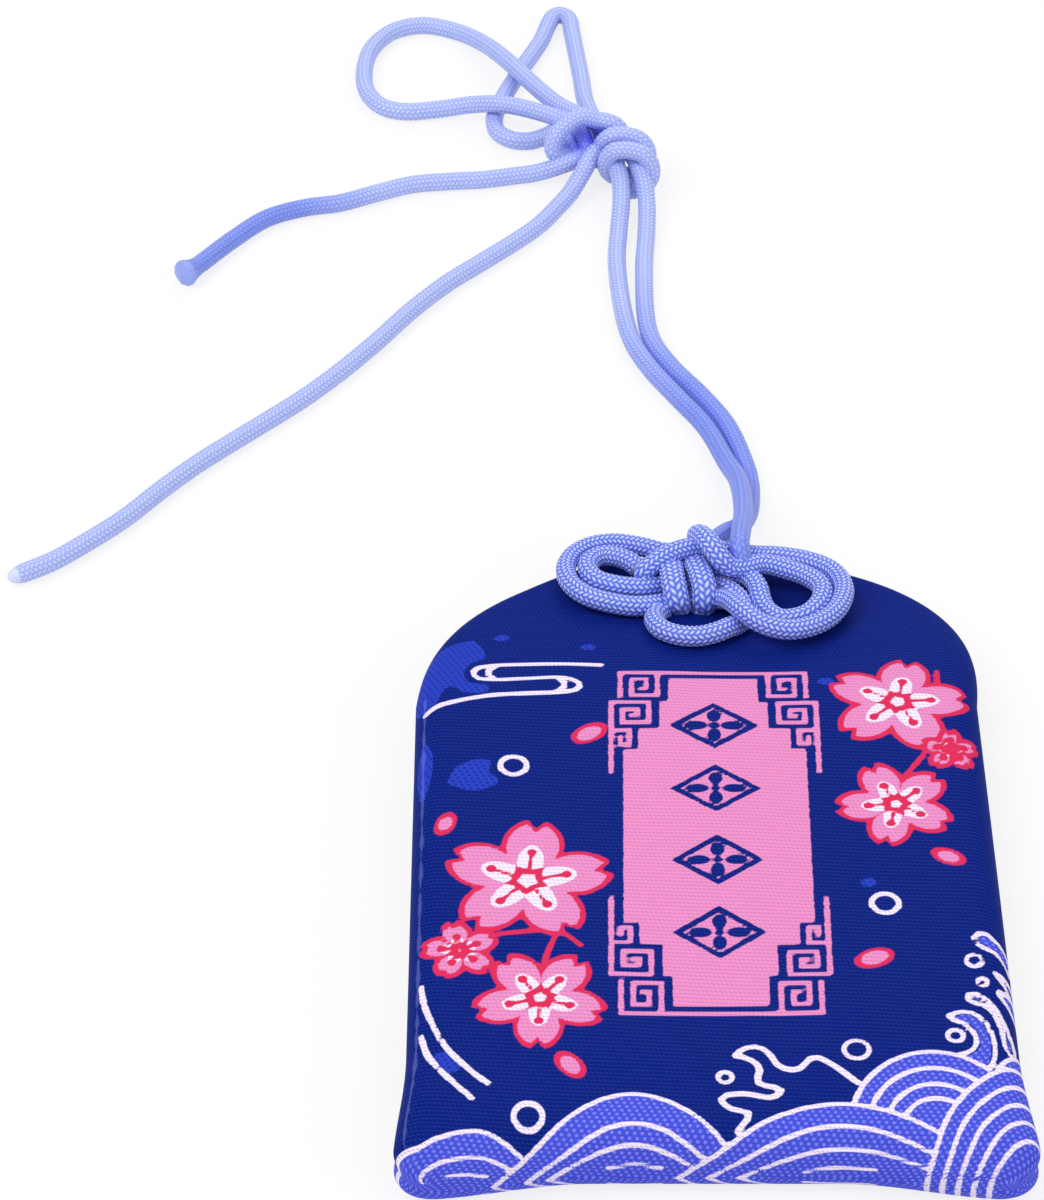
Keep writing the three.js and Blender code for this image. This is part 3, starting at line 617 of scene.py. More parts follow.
def rolled(count, radius):
    """Distance in from a rolled edge and height up it, from 0 to 1, in even steps round the roll."""
    turn = np.linspace(math.pi / 2, 0, count, endpoint=False)
    return radius * (1 - np.sin(turn) ** (2 / ROLL)), np.maximum(np.cos(turn), 0) ** (2 / ROLL)


ROWS = (16, 230, 12)  # points over the bottom's roll, between the rolls and over the mouth's
COLUMNS = (16, 150)  # points over either side's roll and between them


def pouch_grid():
    """Plan places and heights of the pouch's cloth on a grid.

    Rows run from the bottom edge to the mouth and columns from the left edge to the right one.
    The first and last few of each roll over the edge; the height is the product of the rolls.
    """
    low, low_rise = rolled(ROWS[0], EDGE)
    high, high_rise = rolled(ROWS[2], MOUTH)
    y = np.concatenate([low - TOP, np.linspace(EDGE - TOP, TOP - MOUTH, ROWS[1]), (TOP - high)[::-1]])
    rise_y = np.concatenate([low_rise, np.ones(ROWS[1]), high_rise[::-1]])[:, None]
    rolling, flat = COLUMNS
    inset, side_rise = rolled(rolling, EDGE)
    rise_x = np.concatenate([side_rise, np.ones(flat), side_rise[::-1]])[None, :]
    width = half_width(y)[:, None]
    edge = np.concatenate([inset, np.full(flat, EDGE), inset[::-1]])[None, :]
    share = np.concatenate([np.full(rolling, -1.0), np.linspace(-1, 1, flat), np.ones(rolling)])[None, :]
    x = share * (width - edge)
    y = np.broadcast_to(y[:, None], x.shape)
    return x, y, width, rise_x * rise_y


def cloth_run(points):
    """Length of cloth from the middle of the grid to each point, along its row and along its column."""
    across = np.cumsum(np.linalg.norm(np.diff(points, axis=1, prepend=points[:, :1]), axis=2), axis=1)
    along = np.cumsum(np.linalg.norm(np.diff(points, axis=0, prepend=points[:1]), axis=2), axis=0)
    column, row = points.shape[1] // 2, points.shape[0] // 2
    u = across - across[:, column : column + 1] + points[:, column : column + 1, 0]
    v = along - along[row : row + 1] + points[row : row + 1, :, 1]
    return u, v


def pouch_cloth(settings):
    """The stuffed pouch as one closed surface.

    Front height = seam + rolls x depth x closing towards the mouth; back height falls to the table
    in the same way and lifts off it behind the knot. Low waves show the filling.
    """
    x, y, width, rise = pouch_grid()
    lean = LEAN * np.clip((y - TOP) / SHOULDER + 1, 0, 1)
    near_bottom = 1 - smooth((y + TOP) / LOW)
    middle = 1 - smooth((np.abs(x) / width - BOTTOM_MIDDLE[0]) / BOTTOM_MIDDLE[1])
    bow = (BOTTOM_BOW[0] + BOTTOM_BOW[1] * middle) * near_bottom
    closing = 1 - CLOSING[1] * smooth((y - TOP + CLOSING[0]) / CLOSING[0])
    ripple = sum(h * np.sin(across * x + along * y + start) for h, across, along, start in RIPPLES)
    front = SEAM + rise * (FRONT_DEPTH * closing + ripple * settings.fill)
    back = SEAM - rise * SEAM * (1 - BACK_LIFT[2] * smooth((y - TOP + BACK_LIFT[0]) / BACK_LIFT[1]))
    pinch = 1 - PINCH[0] * np.exp(-((rise / PINCH[1]) ** 2))
    from_middle = np.abs(x - CROWN_PLACE[0]) - CROWN_PLACE[1]
    crown = smooth((y - TOP + MOUTH_CROWN[1]) / MOUTH_CROWN[1]) * (1 - smooth(from_middle / CROWN_PLACE[2]))
    plan = (x * pinch + lean, y + bow + MOUTH_CROWN[0] * crown)
    front = np.stack([*plan, front], axis=-1)
    back = np.stack([*plan, back], axis=-1)

    faces, inner = two_sided(*x.shape)
    points = np.vstack([front.reshape(-1, 3), back[inner]])
    u_front, v_front = cloth_run(front)
    u_back, v_back = cloth_run(back)
    front_fields = woven_pattern(u_front, v_front, True)
    v_back = v_front[0] - UNDER + np.abs(v_back - v_back[0] - UNDER)
    back_fields = woven_pattern(u_back, v_back, False)
    # distance to the painted highlight along the left side's seam fold; the right side and the back get none
    from_side = width - np.abs(x)
    fold_end = FOLD_END[2] * smooth((y - TOP + FOLD_END[0]) / FOLD_END[1])
    front_fields["fold"] = np.abs(from_side - FOLD) + fold_end + NO_FOLD * (x > 0)
    back_fields["fold"] = np.full(x.shape, NO_FOLD)
    fields = {
        key: np.concatenate([values.ravel(), back_fields[key][inner]]) for key, values in front_fields.items()
    }
    uv_front, uv_back = np.stack([u_front, v_front], axis=-1), np.stack([u_back, v_back], axis=-1)
    uv = np.vstack([uv_front.reshape(-1, 2), uv_back[inner]])
    return surface("brocade_cloth", points, faces, fields, uv[faces])


# The woven pattern: distances in millimetres of cloth, below zero inside a figure

FAR = 1e3  # distance where a figure isn't
RUN = 0.7  # length of the straight runs that stand for a curve


def line(u, v, points, width):
    """Distance to a stroke of that width along straight runs between the points."""
    p = np.asarray(points, dtype=float)
    best = np.full(u.shape, FAR)
    for a, b in zip(p[:-1], p[1:]):
        run = b - a
        share = np.clip(((u - a[0]) * run[0] + (v - a[1]) * run[1]) / (run @ run), 0, 1)
        best = np.minimum(best, np.hypot(u - a[0] - share * run[0], v - a[1] - share * run[1]))
    return best - width / 2


def curve(u, v, points, width):
    """Distance to a stroke of that width along a smooth curve through the points."""
    return line(u, v, curve_through(points, RUN), width)


def patch(u, v, points):
    """Distance to the inside of a smooth closed curve through the points."""
    p = curve_through([*points, points[0]], RUN)
    inside = np.zeros(u.shape, dtype=bool)
    for a, b in zip(p[:-1], p[1:]):
        crosses = (a[1] > v) != (b[1] > v)
        inside ^= crosses & (u < a[0] + (v - a[1]) * (b[0] - a[0]) / (b[1] - a[1] + 1e-9))
    return np.where(inside, -1, 1) * line(u, v, p, 0)


def bar(u, v, left, low, right, high):
    """Distance to an upright rectangle, measured square."""
    across = np.abs(u - (left + right) / 2) - (right - left) / 2
    along = np.abs(v - (low + high) / 2) - (high - low) / 2
    return np.maximum(across, along)


def square_line(u, v, points, width):
    """Distance to a stroke of upright and level runs with square corners."""
    p = np.asarray(points)
    low, high = np.minimum(p[:-1], p[1:]) - width / 2, np.maximum(p[:-1], p[1:]) + width / 2
    return np.minimum.reduce([bar(u, v, *a, *b) for a, b in zip(low, high)])


def oval(u, v, x, y, across, along, turn=0.0):
    """Near distance to an oval with those half axes, turned by an angle."""
    c, s = math.cos(turn), math.sin(turn)
    p, q = (u - x) * c + (v - y) * s, (v - y) * c - (u - x) * s
    reach = np.hypot(p / across, q / along)
    return (reach - 1) * min(across, along)


# waves from the back one to the front one: peak, steepness, bluntness to its left and right, depths of lines
WAVES = (
    (-19.2, -34.8, 8.3, 7.0, 4.6, (0.0, 2.4)),
    (-6.7, -30.8, 20.5, 10.0, 10.0, (0.0, 3.1, 4.9)),
    (9.8, -31.9, 15.8, 12.0, 12.0, (0.0, 2.2, 4.15)),
)
# steep waves at the right: centre, half axes, crest lines as shares of the reach
SWELLS = (
    (25.6, -30.6, 3.4, 4.6, (1.0, 0.6)),
    (17.6, -35.0, 7.1, 8.8, (1.0, 0.8, 0.6, 0.42)),
    (25.6, -41.5, 8.9, 14.0, (1.0, 0.86, 0.72, 0.58, 0.44)),
)
# bars of foam under the crests
BARS = (
    ((-21.6, -39.6), (-20.0, -39.3), (-18.4, -39.5)),
    ((-8.6, -38.0), (-6.5, -37.6), (-4.4, -38.0)),
    ((7.0, -38.4), (9.8, -38.0), (12.6, -38.4)),
)
LEVEL_FROM = -23.8  # left of this the crests run level round the side
LINE = 0.45  # width of the crests' lines
RING_LINE = 0.37  # width of a ring's line, as a share of its half width
LEAST_LINE = 0.42  # and the least that it is
STROKE = 0.54  # width of the mist's and the spray's strokes
STEM = 0.5  # width of the blossoms' stems
CLEAR = 0.2  # how far the other figures keep clear of a blossom


def sea(u, v):
    """Distances to the royal blue waves and to their white crests; each wave hides what is behind it.

    A wave's crests are hyperbolas, one below the other, and a swell's are ovals, one inside the other.
    """
    royal, white = np.full(u.shape, FAR), np.full(u.shape, FAR)

    def cover(level, crests):
        nonlocal royal, white
        inside = level > 0
        white = np.where(inside, crests, np.minimum(white, np.abs(level)))
        royal = np.where(inside, -np.abs(level), np.minimum(royal, np.abs(level)))

    def swell(x, y, across, along, rings):
        reach = np.hypot((u - x) / across, (v - y) / along)
        slope = np.hypot((u - x) / across**2, (v - y) / along**2) / np.maximum(reach, 1e-3)
        cover((1 - reach) / slope, np.minimum.reduce([np.abs(reach - ring) / slope for ring in rings]))

    def wave(x, y, steep, left, right, depths):
        blunt = np.where(u < x, left, right)
        side = (np.maximum(u, LEVEL_FROM) - x) / blunt
        depth = y - v - steep * (np.sqrt(1 + side**2) - 1)
        slope = np.hypot(1, steep * side / blunt / np.sqrt(1 + side**2))
        cover(depth / slope, np.minimum.reduce([np.abs(depth - crest) / slope for crest in depths]))

    wave(*WAVES[0])
    swell(*SWELLS[0])
    swell(*SWELLS[1])
    wave(*WAVES[1])
    wave(*WAVES[2])
    swell(*SWELLS[2])
    return royal, np.minimum.reduce([white - LINE / 2, *(curve(u, v, foam, STROKE) for foam in BARS)])


# rings of spray: place, half width and half height
RINGS = (
    (-16.2, 7.7, 1.4, 1.4), (14.9, -9.1, 1.4, 1.4), (19.6, -24.4, 0.85, 0.85), (11.5, -26.0, 1.25, 1.2),
    (-15.0, -33.2, 1.42, 1.68), (0.8, -29.0, 0.78, 0.78), (21.8, -15.9, 0.88, 0.88),
    (22.3, -18.3, 0.62, 0.62),
)
# fingers of the breaking wave at the right, each a closed curve
FINGERS = (
    ((19.6, -26.5), (20.8, -26.0), (21.3, -25.0), (21.0, -23.8), (20.2, -22.9), (19.1, -22.3),
     (20.1, -21.7), (21.2, -21.8), (22.1, -22.8), (22.6, -24.3), (22.7, -26.0), (22.0, -28.0),
     (20.6, -27.6)),
    ((24.6, -26.6), (23.7, -25.6), (23.5, -23.8), (23.0, -22.0), (22.2, -20.9), (21.1, -20.5),
     (20.8, -19.9), (21.5, -19.6), (22.5, -20.3), (23.3, -21.5), (23.9, -23.0), (24.6, -25.2)),
    ((25.3, -16.4), (23.7, -14.8), (22.7, -14.4), (22.0, -13.7), (22.1, -12.9), (22.9, -12.7),
     (23.9, -13.4), (25.6, -14.9)),
    ((25.6, -19.9), (24.1, -18.0), (23.4, -17.1), (24.2, -17.3), (25.9, -18.6)),
    ((26.2, -22.6), (24.8, -20.9), (23.4, -19.1), (24.7, -19.3), (26.4, -20.2)),
)
# outline of the mist bands at the upper left, and their inner turns
MIST = (
    (-8.4, 21.6), (-11.6, 21.9), (-15.2, 21.9), (-18.2, 21.7), (-19.5, 21.2), (-19.8, 20.4), (-19.5, 19.7),
    (-18.6, 19.4), (-15.0, 19.6), (-11.8, 19.7), (-10.7, 19.2), (-10.3, 18.5), (-10.7, 17.8), (-11.8, 17.5),
    (-15.2, 17.3), (-18.2, 17.0), (-21.0, 16.3), (-22.8, 15.6), (-24.1, 14.8),
)
MIST_TURNS = (((-17.9, 21.5), (-18.6, 20.5), (-17.9, 19.6)), ((-12.2, 19.5), (-11.6, 18.6), (-12.2, 17.7)))
# strokes of spray
SPRAY = (
    ((-23.7, -24.2), (-23.0, -26.7), (-21.4, -29.1), (-19.5, -31.3)),
    ((-23.8, -18.6), (-23.5, -20.6), (-22.8, -22.9), (-21.7, -25.5), (-20.0, -27.8), (-18.2, -29.7)),
    ((1.6, -34.6), (2.6, -33.0), (0.8, -32.2), (0.4, -31.2), (2.2, -30.8), (4.6, -31.2), (5.2, -30.3),
     (3.4, -29.6), (3.6, -27.9), (2.7, -26.9), (1.7, -26.6), (2.4, -25.8), (3.6, -25.6), (4.4, -26.3),
     (5.2, -27.8), (6.6, -28.2), (8.0, -26.8), (9.4, -27.6), (11.4, -29.7)),
)
# dull blue clouds, each a closed curve
CLOUDS = (
    ((-19.8, 26.2), (-18.9, 24.4), (-18.8, 22.9), (-19.8, 22.2), (-20.6, 20.9), (-20.2, 19.0),
     (-18.6, 18.5), (-18.4, 17.6), (-20.6, 17.5), (-21.7, 18.4), (-22.6, 17.4), (-22.9, 16.2),
     (-25.0, 15.0), (-25.5, 18.0), (-24.5, 22.0), (-22.5, 25.0)),
    ((-21.9, 5.4), (-21.3, 7.3), (-19.6, 8.4), (-18.0, 8.2), (-18.4, 7.0), (-17.4, 5.7), (-19.6, 4.5)),
    ((-18.1, 26.4), (-17.2, 27.3), (-16.5, 26.4), (-17.3, 25.9)),
    ((-10.4, 24.6), (-9.5, 25.3), (-8.7, 24.5), (-9.5, 24.0)),
    ((-24.2, 11.5), (-23.3, 9.5), (-23.4, 6.0), (-24.2, 3.5), (-24.9, 7.0)),
    ((-22.6, -26.4), (-20.8, -26.2), (-20.4, -28.2), (-22.0, -28.6)),
    ((10.6, 19.0), (11.5, 19.7), (12.3, 18.9), (11.4, 18.4)),
    ((12.9, -6.6), (13.7, -5.9), (14.4, -6.7), (13.6, -7.2)),
)

PANEL = (1.12, -0.75)  # middle of the pink panel
PANEL_LEAN = 0.0155  # millimetres across for each millimetre up
FRET = 0.46  # width of the frets' lines
# key frets of one corner of the panel, measured from its middle
FRETS = (
    ((8.2, 17.6), (8.2, 21.15), (4.9, 21.15), (4.9, 17.75), (7.2, 17.75), (7.2, 20.15), (5.9, 20.15),
     (5.9, 18.75), (6.4, 18.75)),
    ((9.0, 7.8), (9.0, 16.75), (5.7, 16.75), (5.7, 14.1), (8.0, 14.1), (8.0, 15.8), (6.7, 15.8),
     (6.7, 15.0), (7.2, 15.0)),
    ((9.0, 13.1), (7.4, 13.1), (7.4, 11.3), (8.2, 11.3), (8.2, 12.2)),
    ((0.0, 21.15), (8.2, 21.15)),
)
# half widths and half heights of the panel's steps
STEPS_OF_PANEL = ((3.95, 20.3), (4.75, 16.9), (6.65, 13.3), (7.95, 10.7))
LOZENGES = (13.7, 5.6, -3.2, -11.8)  # heights of the flower lozenges
LOZENGE = (3.5, 2.7, 2.1, 0.52)  # half its width and height, its middle to a side, width of its line
LOZENGE_PETALS = ((1.6, 0, 1.0, 0.55), (0, 1.25, 0.6, 0.8))  # place and half axes in one quarter of it
LOZENGE_HEART = 0.38


def panel(u, v):
    """Distances to the pink panel with its key frets, and to the navy flower lozenges on it."""
    up = v - PANEL[1]
    out = u - PANEL[0] - PANEL_LEAN * up
    across, along = np.abs(out), np.abs(up)
    pink = np.minimum.reduce([bar(across, along, -w, -h, w, h) for w, h in STEPS_OF_PANEL])
    pink = np.minimum.reduce([pink, *(square_line(across, along, run, FRET) for run in FRETS)])
    navy = np.full(u.shape, FAR)
    wide, tall, to_side, stroke = LOZENGE
    for height in LOZENGES:
        p, q = np.abs(out), np.abs(up - height)
        petals = [oval(p, q, *petal) for petal in LOZENGE_PETALS]
        rim = np.abs((p / wide + q / tall - 1) * to_side) - stroke / 2
        navy = np.minimum.reduce([navy, *petals, rim, np.hypot(p, q) - LOZENGE_HEART])
    return pink, navy


# blossoms: place, reach and turn in radians
BLOSSOMS = (
    (-15.0, -6.4, 7.0, 0.2), (-14.0, -20.2, 5.4, 0.9), (-20.6, -14.6, 3.2, 0.5), (17.6, 16.0, 6.2, 0.1),
    (16.6, 3.0, 5.0, 0.7), (21.8, 9.8, 2.5, 0.3),
)
# single petals in the air: place, half length and turn
PETALS = (
    (-9.6, 12.0, 1.5, 0.6), (-11.6, -27.6, 1.4, 2.2), (13.6, -15.6, 1.5, 0.4), (20.6, -3.6, 1.3, 2.6),
    (-22.0, 0.4, 1.2, 1.2),
)
STEMS = (
    ((-10.6, -14.2), (-12.4, -12.6), (-15.6, -12.6), (-18.6, -13.0)),
    ((-13.2, -12.7), (-13.6, -10.4), (-14.4, -8.4)),
    ((-12.6, -12.8), (-13.4, -15.2), (-14.0, -18.0)),
    ((21.4, 20.6), (21.0, 14.0), (19.6, 9.6), (17.6, 6.4)),
    ((20.6, 12.6), (19.4, 14.0), (18.6, 15.0)),
    ((20.4, 11.2), (21.2, 10.6), (21.8, 10.0)),
)


def blossom(u, v, x, y, reach, turn):
    """Distances to a five petalled blossom's petals, its white heart, its red outline and its stamens.

    The angle is folded into a fifth of a turn, where a petal is an oval with a notch in its tip.
    """
    p, q = u - x, v - y
    radius, angle = np.hypot(p, q), np.arctan2(q, p) - turn
    angle = (angle + math.pi / 5) % (2 * math.pi / 5) - math.pi / 5
    a, b = radius * np.cos(angle), radius * np.sin(angle)
    petal = oval(a, b, 0.58 * reach, 0, 0.44 * reach, 0.35 * reach)
    notch = 0.75 * (a - 0.86 * reach) - np.abs(b)
    petal = np.maximum(petal, notch)
    heart = oval(a, b, 0.30 * reach, 0, 0.30 * reach, 0.16 * reach)
    thread = np.where(a < 0.46 * reach, np.abs(b), np.hypot(a - 0.46 * reach, b)) - 0.16
    stamen = np.minimum(thread, np.hypot(a - 0.48 * reach, b) - 0.42)
    return petal, heart, np.abs(petal) - 0.22, stamen


def woven_pattern(u, v, front):
    """Distance fields of the brocade's figures on the cloth; the back has only the waves."""
    waves, white = sea(u, v)
    royal, mist, pink, red, navy, crest = waves, *(np.full(u.shape, FAR) for _ in range(5))
    if front:
        for cloud in CLOUDS:
            mist = np.minimum(mist, patch(u, v, cloud))
        for finger in FINGERS:
            shape = patch(u, v, finger)
            royal = np.minimum(royal, shape + 0.3)
            crest = np.minimum(crest, np.abs(shape) - LINE / 2)
        for x, y, across, along in RINGS:
            half = max(across * RING_LINE, LEAST_LINE) / 2
            from_ring = np.hypot(u - x, (v - y) * across / along) - across
            crest = np.minimum(crest, np.abs(from_ring + half) - half)
        for stroke in (MIST, *MIST_TURNS, *SPRAY):
            crest = np.minimum(crest, curve(u, v, stroke, STROKE))
        white = np.minimum(white, np.maximum(crest, -waves))
        pink, navy = panel(u, v)
        for stem in STEMS:
            red = np.minimum(red, curve(u, v, stem, STEM))
        for flower in BLOSSOMS:
            petal, heart, rim, stamen = blossom(u, v, *flower)
            clear = -petal - CLEAR
            pink = np.minimum(pink, petal)
            white = np.minimum(np.maximum(white, clear), heart)
            red = np.minimum.reduce([np.maximum(red, clear), rim, np.maximum(stamen, petal)])
            royal, mist = np.maximum(royal, clear), np.maximum(mist, clear)
        for x, y, reach, turn in PETALS:
            shape = oval(u, v, x, y, reach, 0.6 * reach, turn)
            pink = np.minimum(pink, shape)
            red = np.minimum(red, np.abs(shape) - 0.18)
    return {"mist": mist, "royal": royal, "pink": pink, "white": white, "red": red, "navy": navy}


def brocade_material(settings):
    """Polyester brocade: satin wefts of five colours, and navy, over a navy twill in fine level ribs."""
    material, tree, shader = new_material("brocade_polyester_weave")
    cloth = add_node(tree, "UVMap", uv_map="weave")
    turned = add_node(tree, "Mapping", {"Vector": cloth}, in_Rotation=(0, 0, 0.06))
    # the real weave is too fine to show, so its threads are drawn further apart
    pitch = settings.thread
    # uneven ends of the floats, so that a figure's edge steps from thread to thread
    place = add_node(tree, "SeparateXYZ", {0: turned})
    row = add_node(tree, "Math", {0: place.outputs[1]}, operation="SNAP", in_1=pitch)
    ragged = add_node(tree, "TexWhiteNoise", {"W": row}, noise_dimensions="1D")
    slack = add_node(tree, "Math", {0: ragged}, operation="MULTIPLY_ADD", in_1=0.07, in_2=-0.035)
    # ties of the warp and dots of weft along the rows, further along from row to row
    count = add_node(tree, "Math", {0: row}, operation="MULTIPLY", in_1=0.37 / pitch)
    marks = []
    for pace, near, away, most, least in ((1.1, 0.1, 0.3, 1.0, 0.0), (0.7, 0.2, 0.4, 0.0, 0.6)):
        along = add_node(tree, "Math", {0: place, 2: count}, operation="MULTIPLY_ADD", in_1=pace / pitch)
        off = add_node(tree, "Math", {0: along}, operation="PINGPONG", in_1=0.5)
        marks.append(add_node(
            tree, "MapRange", {"Value": off}, in_From_Min=near, in_From_Max=away,
            in_To_Min=most, in_To_Max=least, interpolation_type="SMOOTHSTEP",
        ))
    tie, dot_across = marks
    from_row = add_node(tree, "Math", {0: place.outputs[1]}, operation="PINGPONG", in_1=pitch / 2)
    gap = add_node(
        tree, "MapRange", {"Value": from_row}, in_From_Min=pitch * 0.1, in_From_Max=pitch * 0.26,
        in_To_Min=1.0, in_To_Max=0.0, interpolation_type="SMOOTHSTEP",
    )
    tick = add_node(tree, "Math", {0: tie, 1: gap}, operation="MULTIPLY")
    weave = add_node(tree, "Math", {0: tick}, operation="MULTIPLY_ADD", in_1=-0.4, in_2=1.0)
    height = weave
    # the dots are navy on the mist and pale on the waves, and keep to the rows
    speckled = {"mist": settings.ground, "royal": settings.dots_and_highlight}
    off_gap = add_node(tree, "Math", {1: gap}, operation="SUBTRACT", in_0=1.0)
    dot = add_node(tree, "Math", {0: dot_across, 1: off_gap}, operation="MULTIPLY")
    wefts = {
        "mist": settings.mist, "royal": settings.sea, "pink": settings.blossom, "white": settings.foam,
        "red": settings.outline, "navy": settings.ground,
    }
    colour = None
    for field, hex_colour in wefts.items():
        distance = add_node(tree, "Attribute", attribute_name=field)
        edge = add_node(tree, "Math", {0: distance.outputs["Fac"], 1: slack}, operation="ADD")
        cover = add_node(tree, "MapRange", {"Value": edge}, in_From_Min=0.04, in_From_Max=-0.04)
        mix = add_node(
            tree, "Mix", {"Factor": cover}, data_type="RGBA",
            in_6=linear(settings.ground), in_7=linear(hex_colour),
        )
        if colour:
            tree.links.new(colour, mix.inputs[6])
        colour = mix.outputs[2]
        if field in speckled:
            on_figure = add_node(tree, "Math", {0: dot, 1: cover}, operation="MULTIPLY")
            colour = add_node(
                tree, "Mix", {"Factor": on_figure, 6: colour}, data_type="RGBA",
                in_7=linear(speckled[field]),
            ).outputs[2]
        height = add_node(tree, "Math", {0: cover, 2: height}, operation="MULTIPLY_ADD", in_1=0.5)
    # the warp shows at the ties, darker than the pale wefts and lighter than the navy
    shows = add_node(tree, "Math", {0: tick}, operation="MULTIPLY", in_1=0.5)
    colour = add_node(
        tree, "Mix", {"Factor": shows, 6: colour}, data_type="RGBA", in_7=linear(settings.warp)
    ).outputs[2]
    # painted highlight along the fold of the left side's seam, of uneven width
    fold = add_node(tree, "Attribute", attribute_name="fold")
    highlight_noise = add_node(tree, "TexNoise", {"Vector": cloth}, in_Scale=0.5, in_Detail=3.0)
    highlight_width = add_node(
        tree, "MapRange", {"Value": highlight_noise.outputs["Fac"]}, in_From_Min=0.35, in_From_Max=0.65,
        in_To_Min=0.05, in_To_Max=0.3,
    )
    from_highlight = add_node(tree, "Math", {0: fold.outputs["Fac"], 1: highlight_width}, operation="DIVIDE")
    painted_highlight = add_node(
        tree, "MapRange", {"Value": from_highlight}, in_From_Min=0.3, in_From_Max=1.0,
        in_To_Min=0.22, in_To_Max=0.0, interpolation_type="SMOOTHSTEP",
    )
    colour = add_node(
        tree, "Mix", {"Factor": painted_highlight, 6: colour}, data_type="RGBA", in_7=linear(settings.dots_and_highlight)
    ).outputs[2]
    dress(tree, shader, colour, height.outputs[0], strength=0.35, depth=0.12, roughness=0.6)
    shader.inputs["Specular IOR Level"].default_value = 0.03
    return material


PULL = 0.02  # how far a pad's sides pull in between its corners


def pillow(name, low, high, roll, rows=40, columns=40):
    """A flat pad in a box: its height falls off round the edge as a quarter oval does."""
    s, t = np.meshgrid(np.linspace(-1, 1, columns), np.linspace(-1, 1, rows))
    x, y = np.sin(s * math.pi / 2), np.sin(t * math.pi / 2)
    size, middle = (high - low) / 2, (high + low) / 2
    height = 1.0
    for place, reach in ((x, size[0]), (y, size[1])):
        rolling = np.clip(1 - (1 - np.abs(place)) * reach / roll, 0, 1)
        height = height * np.sqrt(np.clip(1 - rolling**2, 0, 1))
    pull = 1 - PULL * (1 - y**2) * np.abs(x), 1 - PULL * (1 - x**2) * np.abs(y)
    plan = middle[0] + size[0] * x * pull[0], middle[1] + size[1] * y * pull[1]
    top = np.stack([*plan, middle[2] + size[2] * height], axis=-1)
    bottom = np.stack([*plan, middle[2] - size[2] * height], axis=-1)
    faces, inner = two_sided(rows, columns)
    return surface(name, np.vstack([top.reshape(-1, 3), bottom[inner]]), faces)


# Operators

SEALED = 6  # rings at the end of a tail that are melted smooth
TAIL_RINGS = 14  # rings over which a tail swells or comes to a point
BLUNT = 1.5  # how much thicker the short tail's melted end is
BLUNT_END = (1.0, 0.95, 0.8, 0.5)  # shares of that over the rings after those


class OMAMORI_OT_hanging_cord(bpy.types.Operator):
    """Make the hanging cord: two neck strands with their loops, the bow's winding and two tails"""

    bl_idname = "omamori.hanging_cord"
    bl_label = "Hanging cord"

    def execute(self, context):
        settings = context.scene.omamori_cord
        drawn = settings.drawn_crown, settings.drawn_yarn, settings.drawn_groove
        finish = cord_material("cord_drawn_polyester", DRAWN_RELIEF, drawn, settings.painted_shade_tint)
        # the neck's and the short tail's finishes carry a painted shade along them
        leaving = cord_material("cord_leaving_knot_painted_shade", DRAWN_RELIEF, drawn, settings.painted_shade_tint, LEAVING)
        tail_end = cord_material("cord_sealed_tail_painted_shade", DRAWN_RELIEF, drawn, settings.painted_shade_tint, TAIL_END)
        finishes = {
            "neck_and_upright_loop": leaving, "neck_and_large_loop": leaving, "bow_tail_short": tail_end,
        }
        bow, _ = braided_cord("bow_winding", from_top(bow_winding()), settings)
        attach(bow, "hanging_cord")
        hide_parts("bow_knot")
        strands = {
            "neck_and_upright_loop": (UPRIGHT, ("neck_cord_left", "bow_loop_upright"), [bow]),
            "neck_and_large_loop": (LARGE, ("neck_cord_right", "bow_loop_large"), []),
        }
        made = [bow]
        for name, (route, nodes, pieces) in strands.items():
            strand, path = braided_cord(name, from_top(route), settings)
            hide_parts(*nodes)
            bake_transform(strand)
            self.declare(strand, path, settings.diameter, "knot", pieces)
            made.append(strand)
        swell = 1 + (BLUNT - 1) * np.linspace(0, 1, TAIL_RINGS) ** 2
        blunt = np.concatenate([swell, BLUNT * np.array(BLUNT_END), [0.1]])
        point = np.sqrt(1 - np.linspace(0, 0.99, TAIL_RINGS) ** 2)
        tails = {
            "bow_tail_short": (TAIL_SHORT, "tail_short", blunt),
            "bow_tail_long": (TAIL_LONG, "tail_long", point),
        }
        for name, (route, node, end) in tails.items():
            tail, path = braided_cord(name, from_top(route), settings, end_scale=end, sealed=SEALED)
            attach(tail, "hanging_cord")
            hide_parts(node)
            self.declare(tail, path, settings.diameter, "bare", [])
            made.append(tail)
        for piece in made:
            piece.data.materials.append(finishes.get(piece.name, finish))
        return {"FINISHED"}

    def declare(self, piece, path, diameter, far_end, pieces):
        """Does nothing: no cord is declared here."""


class OMAMORI_OT_charm_knot(bpy.types.Operator):
    """Tie the charm knot over the pouch's mouth, as one braided cord"""

    bl_idname = "omamori.charm_knot"
    bl_label = "Charm knot"

    def execute(self, context):
        settings = context.scene.omamori_cord
        knot, _ = braided_cord("charm_knot_cord", from_top(CHARM_KNOT), settings)
        tied = settings.crown, settings.yarn, settings.groove
        finish = cord_material("cord_braided_polyester", TIED_RELIEF, tied)
        knot.data.materials.append(finish)
        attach(knot, "pouch")
        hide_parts("charm_knot")
        return {"FINISHED"}


class OMAMORI_OT_pouch(bpy.types.Operator):
    """Make the stuffed brocade pouch with its woven pattern"""

    bl_idname = "omamori.pouch"
    bl_label = "Pouch"

    def execute(self, context):
        settings = context.scene.omamori_pouch
        pouch = pouch_cloth(settings)
        pouch.data.materials.append(brocade_material(settings))
        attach(pouch, "pouch")
        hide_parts("brocade_pouch")
        return {"FINISHED"}


